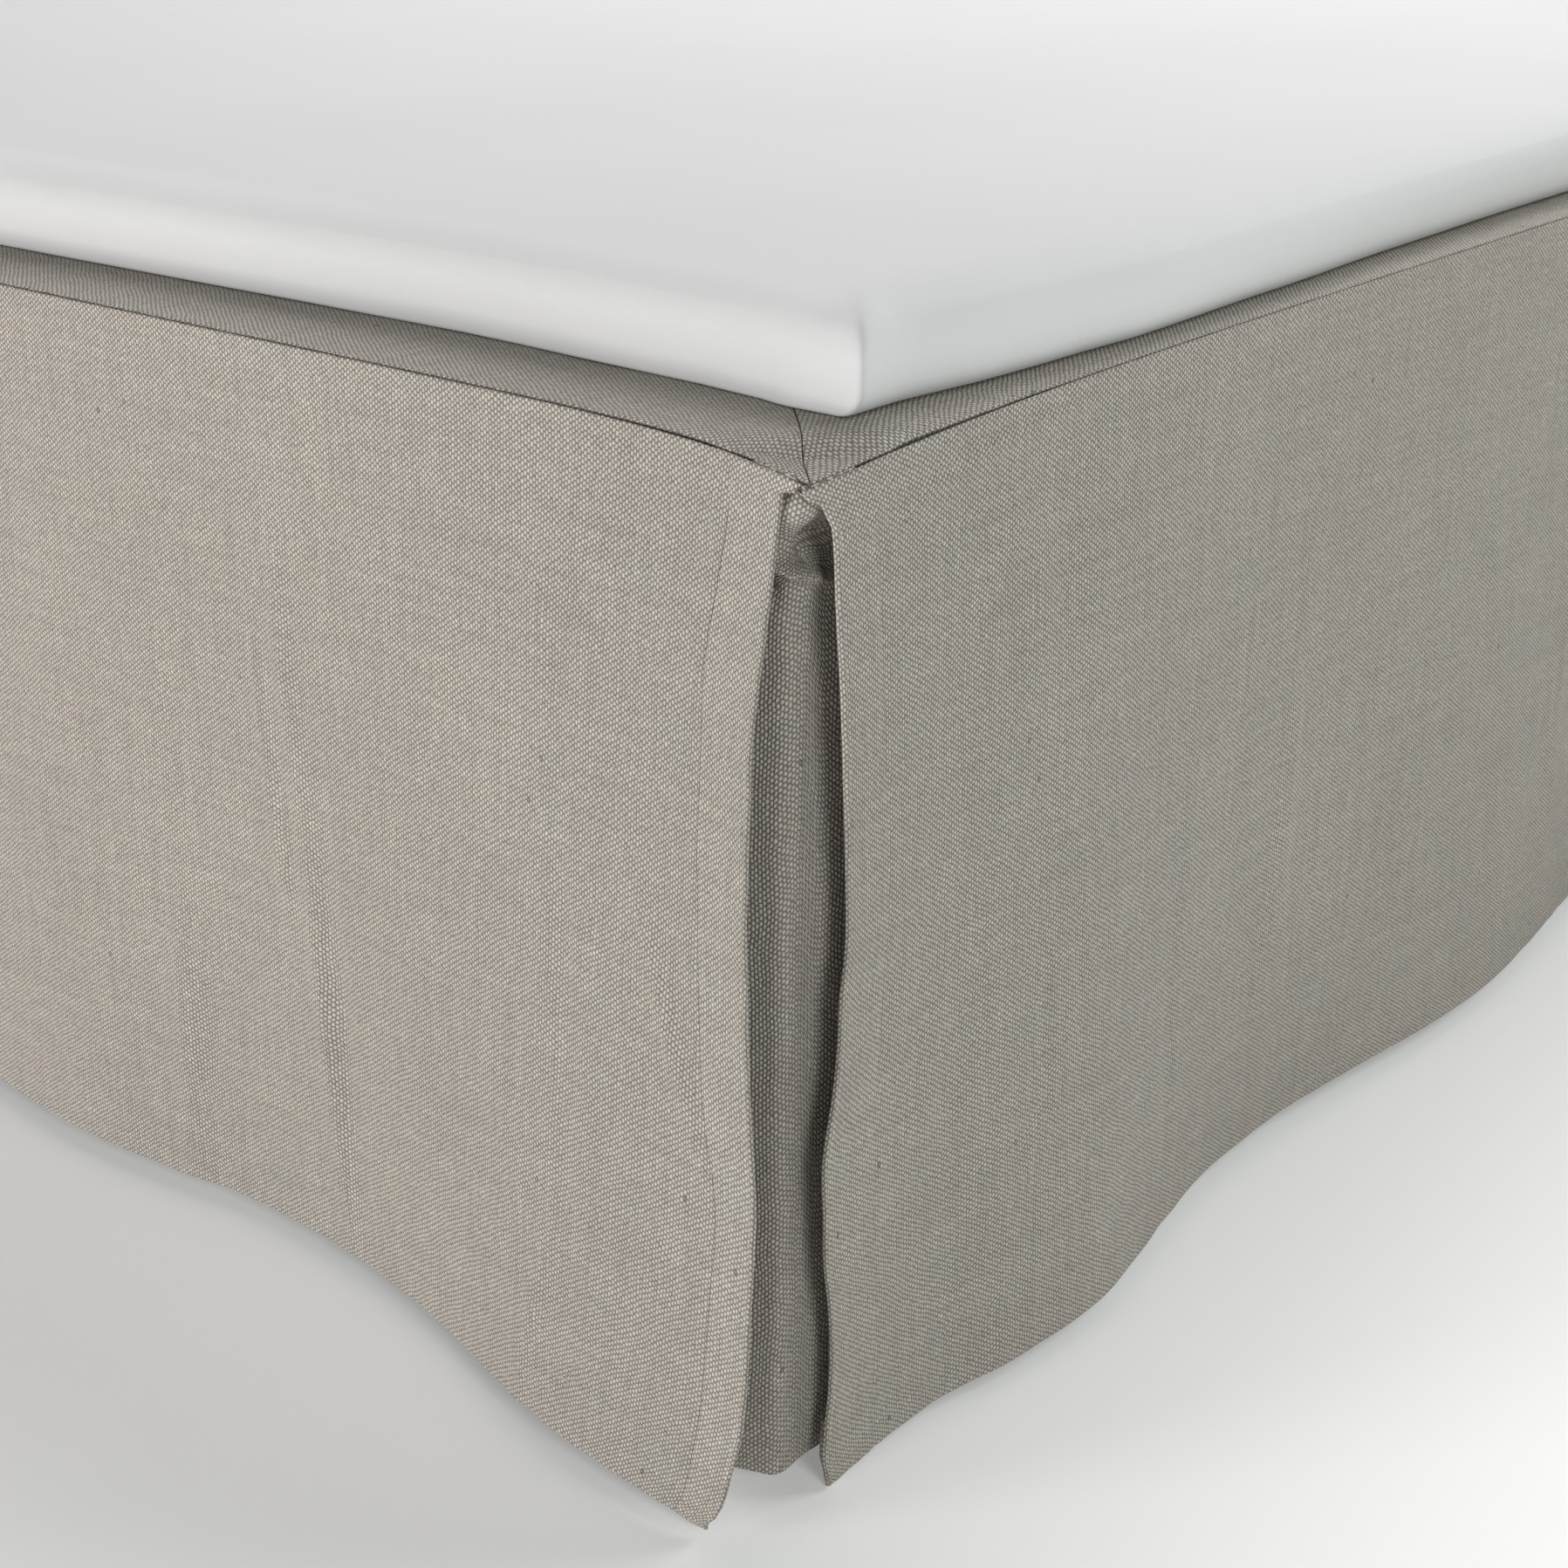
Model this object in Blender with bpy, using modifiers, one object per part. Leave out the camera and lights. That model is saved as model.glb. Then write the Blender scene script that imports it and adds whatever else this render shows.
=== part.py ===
"""Bed skirt with split foot corners, hanging from a bed base and held down by a mattress topper.

Metres, +Z up. The foot of the bed faces -Y and the floor is Z = 0. The split corner with the widest
flare is the one at +X, -Y.
"""

import math

import bmesh
import bpy
from mathutils import Vector

# Bed, measured at the skirt's seam line
BED_WIDTH = 1.600
BED_LENGTH = 2.000
DECK_HEIGHT = 0.512

# Cloth
CLOTH = 0.002
SEAM_GAP = 0.0003
DROP = 0.494
BAND_WIDTH = 0.140
INSERT_BEHIND = 0.0045
INSERT_DROP = 0.484

# Base, legs and topper
BASE_INSET = 0.016
BASE_CORNER = 0.050
BASE_EDGE = 0.010
EDGE_CLEAR = 0.010
LEG_HEIGHT = 0.130
LEG_TOP_RADIUS = 0.032
LEG_FOOT_RADIUS = 0.024
LEG_INSET = 0.085
TOPPER_THICK = 0.050
TOPPER_EDGE = 0.014

HALF_WIDTH = BED_WIDTH / 2
HALF_LENGTH = BED_LENGTH / 2

# How much the unsupported deck cloth droops at each foot corner, and how fast that fades along each seam
CORNER_SAG = {
    "right": {"depth": 0.0125, "along_foot": 0.052, "along_side": 0.095},
    "left": {"depth": 0.0100, "along_foot": 0.075, "along_side": 0.070},
}
CORNER_PULL = Vector((-0.005, -0.002, 0.0))
CORNER_PULL_FADE = 0.050
SAG_CURVE = 1.5

# Folds of each drop panel: distance along the seam, and how far the hem stands out from the seam there.
# The foot panel is measured from its right end, and the side panels from their foot ends.
FOOT_FOLDS = [
    {"along": 0.00, "reach": 0.051},
    {"along": 0.10, "reach": 0.049},
    {"along": 0.155, "reach": 0.040},
    {"along": 0.225, "reach": 0.020},
    {"along": 0.285, "reach": 0.007},
    {"along": 0.345, "reach": 0.000},
    {"along": 0.410, "reach": -0.001},
    {"along": 0.480, "reach": 0.008},
    {"along": 0.560, "reach": 0.013},
    {"along": 0.680, "reach": 0.003},
    {"along": 0.800, "reach": -0.006},
    {"along": 0.920, "reach": 0.004},
    {"along": 1.020, "reach": 0.014},
    {"along": 1.140, "reach": 0.005},
    {"along": 1.250, "reach": -0.007},
    {"along": 1.370, "reach": 0.003},
    {"along": 1.480, "reach": 0.019},
    {"along": 1.600, "reach": 0.029},
]
RIGHT_FOLDS = [
    {"along": 0.00, "reach": -0.005},
    {"along": 0.09, "reach": -0.003},
    {"along": 0.148, "reach": 0.009},
    {"along": 0.220, "reach": 0.015},
    {"along": 0.280, "reach": 0.006},
    {"along": 0.365, "reach": -0.008},
    {"along": 0.450, "reach": -0.010},
    {"along": 0.525, "reach": -0.003},
    {"along": 0.600, "reach": 0.006},
    {"along": 0.690, "reach": 0.012},
    {"along": 0.790, "reach": 0.004},
    {"along": 0.890, "reach": -0.007},
    {"along": 0.990, "reach": -0.002},
    {"along": 1.090, "reach": 0.010},
    {"along": 1.190, "reach": 0.013},
    {"along": 1.300, "reach": 0.002},
    {"along": 1.410, "reach": -0.008},
    {"along": 1.530, "reach": 0.001},
    {"along": 1.640, "reach": 0.011},
    {"along": 1.760, "reach": 0.003},
    {"along": 1.880, "reach": -0.004},
    {"along": 2.000, "reach": 0.005},
]
LEFT_FOLDS = [
    {"along": 0.00, "reach": 0.013},
    {"along": 0.08, "reach": 0.009},
    {"along": 0.170, "reach": 0.000},
    {"along": 0.270, "reach": -0.008},
    {"along": 0.380, "reach": -0.001},
    {"along": 0.490, "reach": 0.011},
    {"along": 0.600, "reach": 0.014},
    {"along": 0.720, "reach": 0.004},
    {"along": 0.840, "reach": -0.007},
    {"along": 0.950, "reach": -0.008},
    {"along": 1.070, "reach": 0.004},
    {"along": 1.180, "reach": 0.012},
    {"along": 1.300, "reach": 0.005},
    {"along": 1.430, "reach": -0.005},
    {"along": 1.550, "reach": -0.006},
    {"along": 1.670, "reach": 0.005},
    {"along": 1.780, "reach": 0.012},
    {"along": 1.900, "reach": 0.006},
    {"along": 2.000, "reach": -0.003},
]
FOLD_GROWTH = 1.1

# Free edges of the split corners: distance down from the seam, and how far the edge stays from the corner.
FOOT_EDGE = [
    {"down": 0.000, "from_corner": 0.0190},
    {"down": 0.060, "from_corner": 0.0250},
    {"down": 0.110, "from_corner": 0.0285},
    {"down": 0.210, "from_corner": 0.0250},
    {"down": 0.270, "from_corner": 0.0195},
    {"down": 0.390, "from_corner": 0.0145},
    {"down": 0.455, "from_corner": 0.0135},
    {"down": 0.475, "from_corner": 0.0160},
    {"down": 0.494, "from_corner": 0.0250},
]
RIGHT_EDGE = [
    {"down": 0.000, "from_corner": -0.0040},
    {"down": 0.017, "from_corner": 0.0045},
    {"down": 0.050, "from_corner": 0.0090},
    {"down": 0.130, "from_corner": 0.0130},
    {"down": 0.215, "from_corner": 0.0160},
    {"down": 0.280, "from_corner": 0.0120},
    {"down": 0.325, "from_corner": 0.0080},
    {"down": 0.400, "from_corner": 0.0080},
    {"down": 0.475, "from_corner": 0.0090},
    {"down": 0.494, "from_corner": 0.0140},
]
LEFT_EDGE = [
    {"down": 0.000, "from_corner": 0.0050},
    {"down": 0.120, "from_corner": 0.0110},
    {"down": 0.300, "from_corner": 0.0070},
    {"down": 0.494, "from_corner": 0.0120},
]
FOOT_LEFT_EDGE = [
    {"down": 0.000, "from_corner": 0.0120},
    {"down": 0.150, "from_corner": 0.0190},
    {"down": 0.330, "from_corner": 0.0150},
    {"down": 0.494, "from_corner": 0.0200},
]
HEAD_EDGE = [
    {"down": 0.000, "from_corner": 0.0000},
    {"down": 0.200, "from_corner": 0.0040},
    {"down": 0.494, "from_corner": 0.0020},
]
EDGE_FADE = 0.060

# Corner inserts: how far each leg stands out from its seam line at the hem, and the rounding of the fold
INSERTS = {
    "right": {"foot_reach": 0.012, "side_reach": -0.015, "corner_top": 0.012, "corner_hem": 0.028},
    "left": {"foot_reach": 0.006, "side_reach": -0.011, "corner_top": 0.012, "corner_hem": 0.022},
}
INSERT_GROWTH = 2.0
# Crumples of the inserts: distance along the strip from its fold (foot leg negative) and down, size, depth
INSERT_CRUMPLES = {
    "right": [
        {"along": 0.026, "down": 0.045, "wide": 0.020, "tall": 0.022, "depth": -0.0060},
        {"along": -0.012, "down": 0.068, "wide": 0.016, "tall": 0.016, "depth": 0.0045},
        {"along": -0.034, "down": 0.062, "wide": 0.016, "tall": 0.018, "depth": -0.0050},
        {"along": 0.040, "down": 0.260, "wide": 0.026, "tall": 0.120, "depth": -0.0030},
    ],
    "left": [
        {"along": 0.020, "down": 0.060, "wide": 0.022, "tall": 0.030, "depth": -0.0050},
        {"along": -0.022, "down": 0.110, "wide": 0.024, "tall": 0.040, "depth": 0.0035},
        {"along": -0.040, "down": 0.290, "wide": 0.030, "tall": 0.110, "depth": -0.0030},
    ],
}

# Edges of the topper: distance along each side of the bed, and how far the topper stays inside the seam line.
# The long sides are measured from the foot, the foot from the right, and the head from the left.
TOPPER_SIDES = {
    "right": [
        {"along": 0.03, "inset": 0.027},
        {"along": 0.12, "inset": 0.023},
        {"along": 0.20, "inset": 0.015},
        {"along": 0.35, "inset": 0.017},
        {"along": 0.55, "inset": 0.031},
        {"along": 1.00, "inset": 0.026},
        {"along": 2.00, "inset": 0.020},
    ],
    "left": [
        {"along": 0.05, "inset": 0.026},
        {"along": 0.40, "inset": 0.034},
        {"along": 0.90, "inset": 0.022},
        {"along": 1.45, "inset": 0.029},
        {"along": 2.00, "inset": 0.022},
    ],
    "foot": [
        {"along": 0.03, "inset": 0.049},
        {"along": 0.10, "inset": 0.054},
        {"along": 0.18, "inset": 0.060},
        {"along": 0.27, "inset": 0.065},
        {"along": 0.50, "inset": 0.063},
        {"along": 1.10, "inset": 0.056},
        {"along": 1.60, "inset": 0.050},
    ],
    "head": [
        {"along": 0.00, "inset": 0.018},
        {"along": 0.50, "inset": 0.026},
        {"along": 1.10, "inset": 0.020},
        {"along": 1.60, "inset": 0.024},
    ],
}

# Where the cloth is divided, fine near the split corners: distances from the corner, and distances down
CORNER_STEPS = [0.0, 0.010, 0.021, 0.034, 0.052, 0.080, 0.112, 0.155, 0.225]
PLAIN_STEP = 0.055
DROP_ROWS = [0.0, 0.060, 0.130, 0.210, 0.280, 0.340, 0.410, 0.465, DROP]
INSERT_ROWS = [0.0, 0.025, 0.045, 0.062, 0.080, 0.110, 0.170, 0.260, 0.360, INSERT_DROP]
INSERT_LEG_COLUMNS = [0.005, 0.014, 0.027, 0.045, 0.073, 0.105, 0.148]
BAND_ROWS = [0.0, INSERT_BEHIND, 0.010, 0.017, 0.026, 0.036, 0.050, BAND_WIDTH]
TOPPER_COLUMNS = 12
TOPPER_ROWS = 14
LEG_SIDES = 24
CORNER_SEGMENTS = 6
EDGE_SEGMENTS = 3

COLOURS = {
    "skirt_cloth": (0.43, 0.40, 0.35),
    "deck_cloth": (0.52, 0.50, 0.46),
    "topper_cloth": (0.85, 0.85, 0.84),
    "base_cloth": (0.55, 0.54, 0.52),
    "leg_wood": (0.30, 0.19, 0.11),
}
ROUGHNESS = {"skirt_cloth": 0.9, "deck_cloth": 0.9, "topper_cloth": 0.85, "base_cloth": 0.9, "leg_wood": 0.5}


def smooth_through(points, at):
    """A smooth curve through (place, value) points, held at its end values outside them."""
    if at <= points[0][0]:
        return points[0][1]
    if at >= points[-1][0]:
        return points[-1][1]
    last = len(points) - 1
    index = next(i for i in range(last) if at <= points[i + 1][0])
    (x0, y0), (x1, y1) = points[index], points[index + 1]

    def slope(i):
        if i in (0, last):
            return 0.0
        (xa, ya), (xb, yb) = points[i - 1], points[i + 1]
        return (yb - ya) / (xb - xa)

    t = (at - x0) / (x1 - x0)
    rise = y1 - y0
    start, end = slope(index) * (x1 - x0), slope(index + 1) * (x1 - x0)
    return y0 + start * t + (3 * rise - 2 * start - end) * t**2 + (start + end - 2 * rise) * t**3


def column_of(rows, place, value):
    return [(row[place], row[value]) for row in rows]


def outside_flat_top(x, y):
    """How far (x, y) lies outside the flat top of the base, whose corners are round."""
    straight = BASE_INSET + BASE_CORNER
    beyond_x = abs(x) - (HALF_WIDTH - straight)
    beyond_y = abs(y) - (HALF_LENGTH - straight)
    corner = math.hypot(max(beyond_x, 0.0), max(beyond_y, 0.0))
    return corner + min(max(beyond_x, beyond_y), 0.0) - (BASE_CORNER - BASE_EDGE)


def deck_sag(x, y):
    """How far the deck cloth hangs below its flat part, once it is clear of the base's edge."""
    overhang = BASE_INSET + BASE_EDGE - EDGE_CLEAR
    free = min(max((outside_flat_top(x, y) - EDGE_CLEAR) / overhang, 0.0), 1.0)
    from_foot = y + HALF_LENGTH
    sag = 0.0
    for side, corner in CORNER_SAG.items():
        from_side = HALF_WIDTH - x if side == "right" else HALF_WIDTH + x
        fade = max(from_side, 0.0) / corner["along_foot"] + max(from_foot, 0.0) / corner["along_side"]
        sag += corner["depth"] * math.exp(-fade)
    return sag * free**SAG_CURVE


def corner_pull(x, y):
    """The right foot corner of the deck is pulled a little out of square."""
    distance = abs(HALF_WIDTH - x) + abs(y + HALF_LENGTH)
    return CORNER_PULL * math.exp(-distance / CORNER_PULL_FADE)


def deck_point(x, y):
    return Vector((x, y, DECK_HEIGHT - deck_sag(x, y))) + corner_pull(x, y)


def under_deck(x, y):
    """Height of the seam under the deck cloth, which is thicker upright where it slopes."""
    step = 0.001
    slope_x = (deck_sag(x + step, y) - deck_sag(x - step, y)) / (2 * step)
    slope_y = (deck_sag(x, y + step) - deck_sag(x, y - step)) / (2 * step)
    upright = CLOTH * math.sqrt(1 + slope_x**2 + slope_y**2)
    return DECK_HEIGHT - deck_sag(x, y) - upright - SEAM_GAP


def material_named(name):
    if name in bpy.data.materials:
        return bpy.data.materials[name]
    material = bpy.data.materials.new(name)
    material.use_nodes = True
    shader = material.node_tree.nodes["Principled BSDF"]
    shader.inputs["Base Color"].default_value = (*COLOURS[name], 1.0)
    shader.inputs["Roughness"].default_value = ROUGHNESS[name]
    shader.inputs["Metallic"].default_value = 0.0
    return material


def add_object(name, mesh_data, material, collection, parent):
    mesh = bpy.data.meshes.new(name)
    mesh_data.to_mesh(mesh)
    mesh_data.free()
    mesh.materials.append(material_named(material))
    mesh.shade_smooth()
    piece = bpy.data.objects.new(name, mesh)
    collection.objects.link(piece)
    piece.parent = parent
    return piece


def add_sheet(name, columns, rows, place, material, collection, parent):
    """A sheet of cloth: a grid whose point at (column, row) goes where place says, then thickened inwards."""
    grid = bmesh.new()
    bmesh.ops.create_grid(grid, x_segments=len(columns) - 1, y_segments=len(rows) - 1, size=0.5)
    for vertex in grid.verts:
        across = round((vertex.co.x + 0.5) * (len(columns) - 1))
        down = round((0.5 - vertex.co.y) * (len(rows) - 1))
        vertex.co = place(columns[across], rows[down])
    sheet = add_object(name, grid, material, collection, parent)
    thickness = sheet.modifiers.new("cloth thickness", "SOLIDIFY")
    thickness.thickness = CLOTH
    thickness.offset = -1
    return sheet


def steps_along(length, fine_start, fine_end):
    """Distances along a seam, fine at the ends that meet a split corner."""
    low = CORNER_STEPS if fine_start else [0.0]
    high = [length - step for step in reversed(CORNER_STEPS)] if fine_end else [length]
    span = high[0] - low[-1]
    count = round(span / PLAIN_STEP)
    middle = [low[-1] + span * i / count for i in range(1, count)]
    return low + middle + high


def hanging_point(along, down, length, folds, start_edge, end_edge, seam_place, outward):
    """A point of a drop panel: along its seam and down the cloth, with its folds and free edges."""
    start = smooth_through(column_of(start_edge, "down", "from_corner"), down)
    end = smooth_through(column_of(end_edge, "down", "from_corner"), down)
    place = along + start * math.exp(-along / EDGE_FADE) - end * math.exp(-(length - along) / EDGE_FADE)
    reach = smooth_through(column_of(folds, "along", "reach"), along)
    swing = reach * (down / DROP) ** FOLD_GROWTH
    seam = seam_place(place)
    top = under_deck(seam.x, seam.y)
    straight_down = math.sqrt(down**2 - min(swing**2, down**2))
    point = seam + outward * swing + corner_pull(seam.x, seam.y) * (1 - down / DROP)
    point.z = top - straight_down
    return point


def make_drop_panels(collection, parent):
    def foot(along, down):
        def seam(place):
            return Vector((HALF_WIDTH - place, -HALF_LENGTH, 0.0))

        from_right = BED_WIDTH - along
        return hanging_point(
            from_right, down, BED_WIDTH, FOOT_FOLDS, FOOT_EDGE, FOOT_LEFT_EDGE, seam, Vector((0, -1, 0))
        )

    def right(along, down):
        def seam(place):
            return Vector((HALF_WIDTH, place - HALF_LENGTH, 0.0))

        return hanging_point(
            along, down, BED_LENGTH, RIGHT_FOLDS, RIGHT_EDGE, HEAD_EDGE, seam, Vector((1, 0, 0))
        )

    def left(along, down):
        def seam(place):
            return Vector((-HALF_WIDTH, place - HALF_LENGTH, 0.0))

        from_foot = BED_LENGTH - along
        return hanging_point(
            from_foot, down, BED_LENGTH, LEFT_FOLDS, LEFT_EDGE, HEAD_EDGE, seam, Vector((-1, 0, 0))
        )

    foot_steps = steps_along(BED_WIDTH, True, True)
    right_steps = steps_along(BED_LENGTH, True, False)
    left_steps = steps_along(BED_LENGTH, False, True)
    for name, steps, place in (
        ("skirt_foot", foot_steps, foot),
        ("skirt_right", right_steps, right),
        ("skirt_left", left_steps, left),
    ):
        add_sheet(name, steps, DROP_ROWS, place, "skirt_cloth", collection, parent)


def insert_plan(along, foot_reach, side_reach, radius):
    """Plan of the insert on the right corner: (x, y, outward x, outward y), with the fold at along = 0."""
    corner_x = HALF_WIDTH + side_reach
    corner_y = -HALF_LENGTH - foot_reach
    half_arc = radius * math.pi / 4
    centre_x, centre_y = corner_x - radius, corner_y + radius
    if along < -half_arc:
        return centre_x + (along + half_arc), corner_y, 0.0, -1.0
    if along > half_arc:
        return corner_x, centre_y + (along - half_arc), 1.0, 0.0
    angle = -math.pi / 4 + along / radius
    out_x, out_y = math.cos(angle), math.sin(angle)
    return centre_x + radius * out_x, centre_y + radius * out_y, out_x, out_y


def make_inserts(collection, parent):
    for side, size in INSERTS.items():
        mirror = 1 if side == "right" else -1

        def place(along, down, size=size, side=side, mirror=mirror):
            grown = (down / INSERT_DROP) ** INSERT_GROWTH
            foot_reach = -INSERT_BEHIND + (size["foot_reach"] + INSERT_BEHIND) * grown
            side_reach = -INSERT_BEHIND + (size["side_reach"] + INSERT_BEHIND) * grown
            radius = size["corner_top"] + (size["corner_hem"] - size["corner_top"]) * down / INSERT_DROP
            x, y, out_x, out_y = insert_plan(along * mirror, foot_reach, side_reach, radius)
            dent = 0.0
            for crumple in INSERT_CRUMPLES[side]:
                across = (along * mirror - crumple["along"]) / crumple["wide"]
                height = (down - crumple["down"]) / crumple["tall"]
                dent += crumple["depth"] * math.exp(-(across**2) - height**2)
            seam = insert_plan(along * mirror, -INSERT_BEHIND, -INSERT_BEHIND, size["corner_top"])
            top = under_deck(mirror * seam[0], seam[1]) - SEAM_GAP
            pull = corner_pull(mirror * seam[0], seam[1]) * (1 - down / INSERT_DROP)
            return Vector((mirror * (x + out_x * dent), y + out_y * dent, top - down)) + pull

        columns = [-leg for leg in reversed(INSERT_LEG_COLUMNS)] + INSERT_LEG_COLUMNS
        add_sheet("corner_insert_" + side, columns, INSERT_ROWS, place, "skirt_cloth", collection, parent)


def make_deck(collection, parent):
    half_gap = SEAM_GAP / 2

    def foot(along, inward):
        reach = HALF_WIDTH - inward - half_gap
        return deck_point(-reach + 2 * reach * along / BED_WIDTH, -HALF_LENGTH + inward)

    def right(along, inward):
        start = -HALF_LENGTH + inward + half_gap
        return deck_point(HALF_WIDTH - inward, start + (HALF_LENGTH - start) * along / BED_LENGTH)

    def left(along, inward):
        start = -HALF_LENGTH + inward + half_gap
        return deck_point(inward - HALF_WIDTH, start + (HALF_LENGTH - start) * (1 - along / BED_LENGTH))

    for name, steps, place in (
        ("deck_band_foot", steps_along(BED_WIDTH, True, True), foot),
        ("deck_band_right", steps_along(BED_LENGTH, True, False), right),
        ("deck_band_left", steps_along(BED_LENGTH, False, True), left),
    ):
        add_sheet(name, steps, BAND_ROWS[::-1], place, "skirt_cloth", collection, parent)

    panel_width = BED_WIDTH - 2 * (BAND_WIDTH + SEAM_GAP)
    panel_length = BED_LENGTH - BAND_WIDTH - SEAM_GAP
    panel = bmesh.new()
    bmesh.ops.create_cube(panel, size=1.0)
    bmesh.ops.scale(panel, vec=(panel_width, panel_length, CLOTH), verts=panel.verts)
    deck = add_object("deck_panel", panel, "deck_cloth", collection, parent)
    deck.location = (0.0, HALF_LENGTH - panel_length / 2, DECK_HEIGHT - CLOTH / 2)


def make_base(collection, parent):
    top = DECK_HEIGHT - CLOTH - SEAM_GAP
    bottom = LEG_HEIGHT
    box = bmesh.new()
    bmesh.ops.create_cube(box, size=1.0)
    size = (BED_WIDTH - 2 * BASE_INSET, BED_LENGTH - 2 * BASE_INSET, top - bottom)
    bmesh.ops.scale(box, vec=size, verts=box.verts)
    upright = [e for e in box.edges if abs(e.verts[0].co.z - e.verts[1].co.z) > size[2] / 2]
    bmesh.ops.bevel(
        box, geom=upright, offset=BASE_CORNER, segments=CORNER_SEGMENTS, profile=0.5, affect="EDGES"
    )
    base = add_object("bed_base", box, "base_cloth", collection, parent)
    base.location = (0.0, 0.0, (top + bottom) / 2)
    rounding = base.modifiers.new("soft edges", "BEVEL")
    rounding.width = BASE_EDGE
    rounding.segments = EDGE_SEGMENTS
    rounding.limit_method = "ANGLE"
    rounding.angle_limit = math.radians(60)


def make_legs(collection, parent):
    height = LEG_HEIGHT - SEAM_GAP
    for end, y in (("foot", -1), ("middle", 0), ("head", 1)):
        for side, x in (("left", -1), ("right", 1)):
            cone = bmesh.new()
            bmesh.ops.create_cone(
                cone,
                cap_ends=True,
                segments=LEG_SIDES,
                radius1=LEG_FOOT_RADIUS,
                radius2=LEG_TOP_RADIUS,
                depth=height,
            )
            leg = add_object("leg_" + end + "_" + side, cone, "leg_wood", collection, parent)
            leg.location = (
                x * (HALF_WIDTH - BASE_INSET - LEG_INSET),
                y * (HALF_LENGTH - BASE_INSET - LEG_INSET),
                height / 2,
            )
            leg.data.set_sharp_from_angle(angle=math.radians(40))


def make_topper(collection, parent):
    sides = {side: column_of(rows, "along", "inset") for side, rows in TOPPER_SIDES.items()}
    slab = bmesh.new()
    bmesh.ops.create_grid(slab, x_segments=TOPPER_COLUMNS, y_segments=TOPPER_ROWS, size=0.5)
    for vertex in slab.verts:
        across, along = vertex.co.x + 0.5, vertex.co.y + 0.5
        left = -HALF_WIDTH + smooth_through(sides["left"], along * BED_LENGTH)
        right = HALF_WIDTH - smooth_through(sides["right"], along * BED_LENGTH)
        foot = -HALF_LENGTH + smooth_through(sides["foot"], (1 - across) * BED_WIDTH)
        head = HALF_LENGTH - smooth_through(sides["head"], across * BED_WIDTH)
        vertex.co = (left + (right - left) * across, foot + (head - foot) * along, 0.0)
    topper = add_object("topper", slab, "topper_cloth", collection, parent)
    topper.location = (0.0, 0.0, DECK_HEIGHT + SEAM_GAP)
    depth = topper.modifiers.new("filling depth", "SOLIDIFY")
    depth.thickness = TOPPER_THICK
    depth.offset = 1
    rounding = topper.modifiers.new("soft edges", "BEVEL")
    rounding.width = TOPPER_EDGE
    rounding.segments = EDGE_SEGMENTS
    rounding.limit_method = "ANGLE"
    rounding.angle_limit = math.radians(50)


def centre_on_box(bed, collection):
    """Moves the bed so that the middle of its bounding box stands on the origin."""
    bpy.context.view_layer.update()
    graph = bpy.context.evaluated_depsgraph_get()
    corners = []
    for piece in collection.objects:
        if piece.type != "MESH":
            continue
        shape = piece.evaluated_get(graph)
        corners += [shape.matrix_world @ Vector(corner) for corner in shape.bound_box]
    for axis in (0, 1):
        low = min(corner[axis] for corner in corners)
        high = max(corner[axis] for corner in corners)
        bed.location[axis] -= (low + high) / 2


def main():
    for item in list(bpy.data.objects):
        bpy.data.objects.remove(item, do_unlink=True)
    collection = bpy.data.collections.new("Bed skirt on bed base")
    bpy.context.scene.collection.children.link(collection)
    bed = bpy.data.objects.new("bed", None)
    collection.objects.link(bed)
    make_drop_panels(collection, bed)
    make_inserts(collection, bed)
    make_deck(collection, bed)
    make_base(collection, bed)
    make_legs(collection, bed)
    make_topper(collection, bed)
    centre_on_box(bed, collection)


main()
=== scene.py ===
import math

import bmesh
import bpy
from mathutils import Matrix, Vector, noise


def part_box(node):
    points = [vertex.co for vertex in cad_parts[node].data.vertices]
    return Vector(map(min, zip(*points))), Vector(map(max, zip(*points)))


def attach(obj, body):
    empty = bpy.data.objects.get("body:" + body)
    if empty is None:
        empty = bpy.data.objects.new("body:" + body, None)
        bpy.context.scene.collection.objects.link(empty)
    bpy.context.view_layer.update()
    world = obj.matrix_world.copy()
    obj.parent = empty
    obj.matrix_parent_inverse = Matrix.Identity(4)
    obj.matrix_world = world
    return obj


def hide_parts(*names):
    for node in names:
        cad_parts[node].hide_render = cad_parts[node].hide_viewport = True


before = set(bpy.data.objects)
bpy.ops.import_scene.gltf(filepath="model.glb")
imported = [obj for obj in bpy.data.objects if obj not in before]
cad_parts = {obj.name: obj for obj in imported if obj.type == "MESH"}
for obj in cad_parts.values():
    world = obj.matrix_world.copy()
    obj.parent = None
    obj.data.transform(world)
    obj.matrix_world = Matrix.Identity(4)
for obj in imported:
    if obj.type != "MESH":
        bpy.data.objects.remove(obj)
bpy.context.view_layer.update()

# A bed skirt with split foot corners, sewn to a deck panel, on a bed base with a topper.
# Metres, with the foot of the bed at -Y.

scene = bpy.context.scene

# the bed as the parts in model.glb give it
baseLow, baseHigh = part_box("bed_base")
bed = {
    "baseInset": 0.016,      # base inside the seam line
    "baseCorner": 0.050,     # rounding of the base's corners
    "baseEdge": 0.010,       # rounding of its top edge
    "edgeClear": 0.010,      # how far past the flat top the deck starts to droop
}
halfWidth = (baseHigh.x - baseLow.x) / 2 + bed["baseInset"]
halfLength = (baseHigh.y - baseLow.y) / 2 + bed["baseInset"]
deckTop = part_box("deck_panel")[1].z
middle = Vector(((baseLow.x + baseHigh.x) / 2, (baseLow.y + baseHigh.y) / 2, 0.0))


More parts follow.
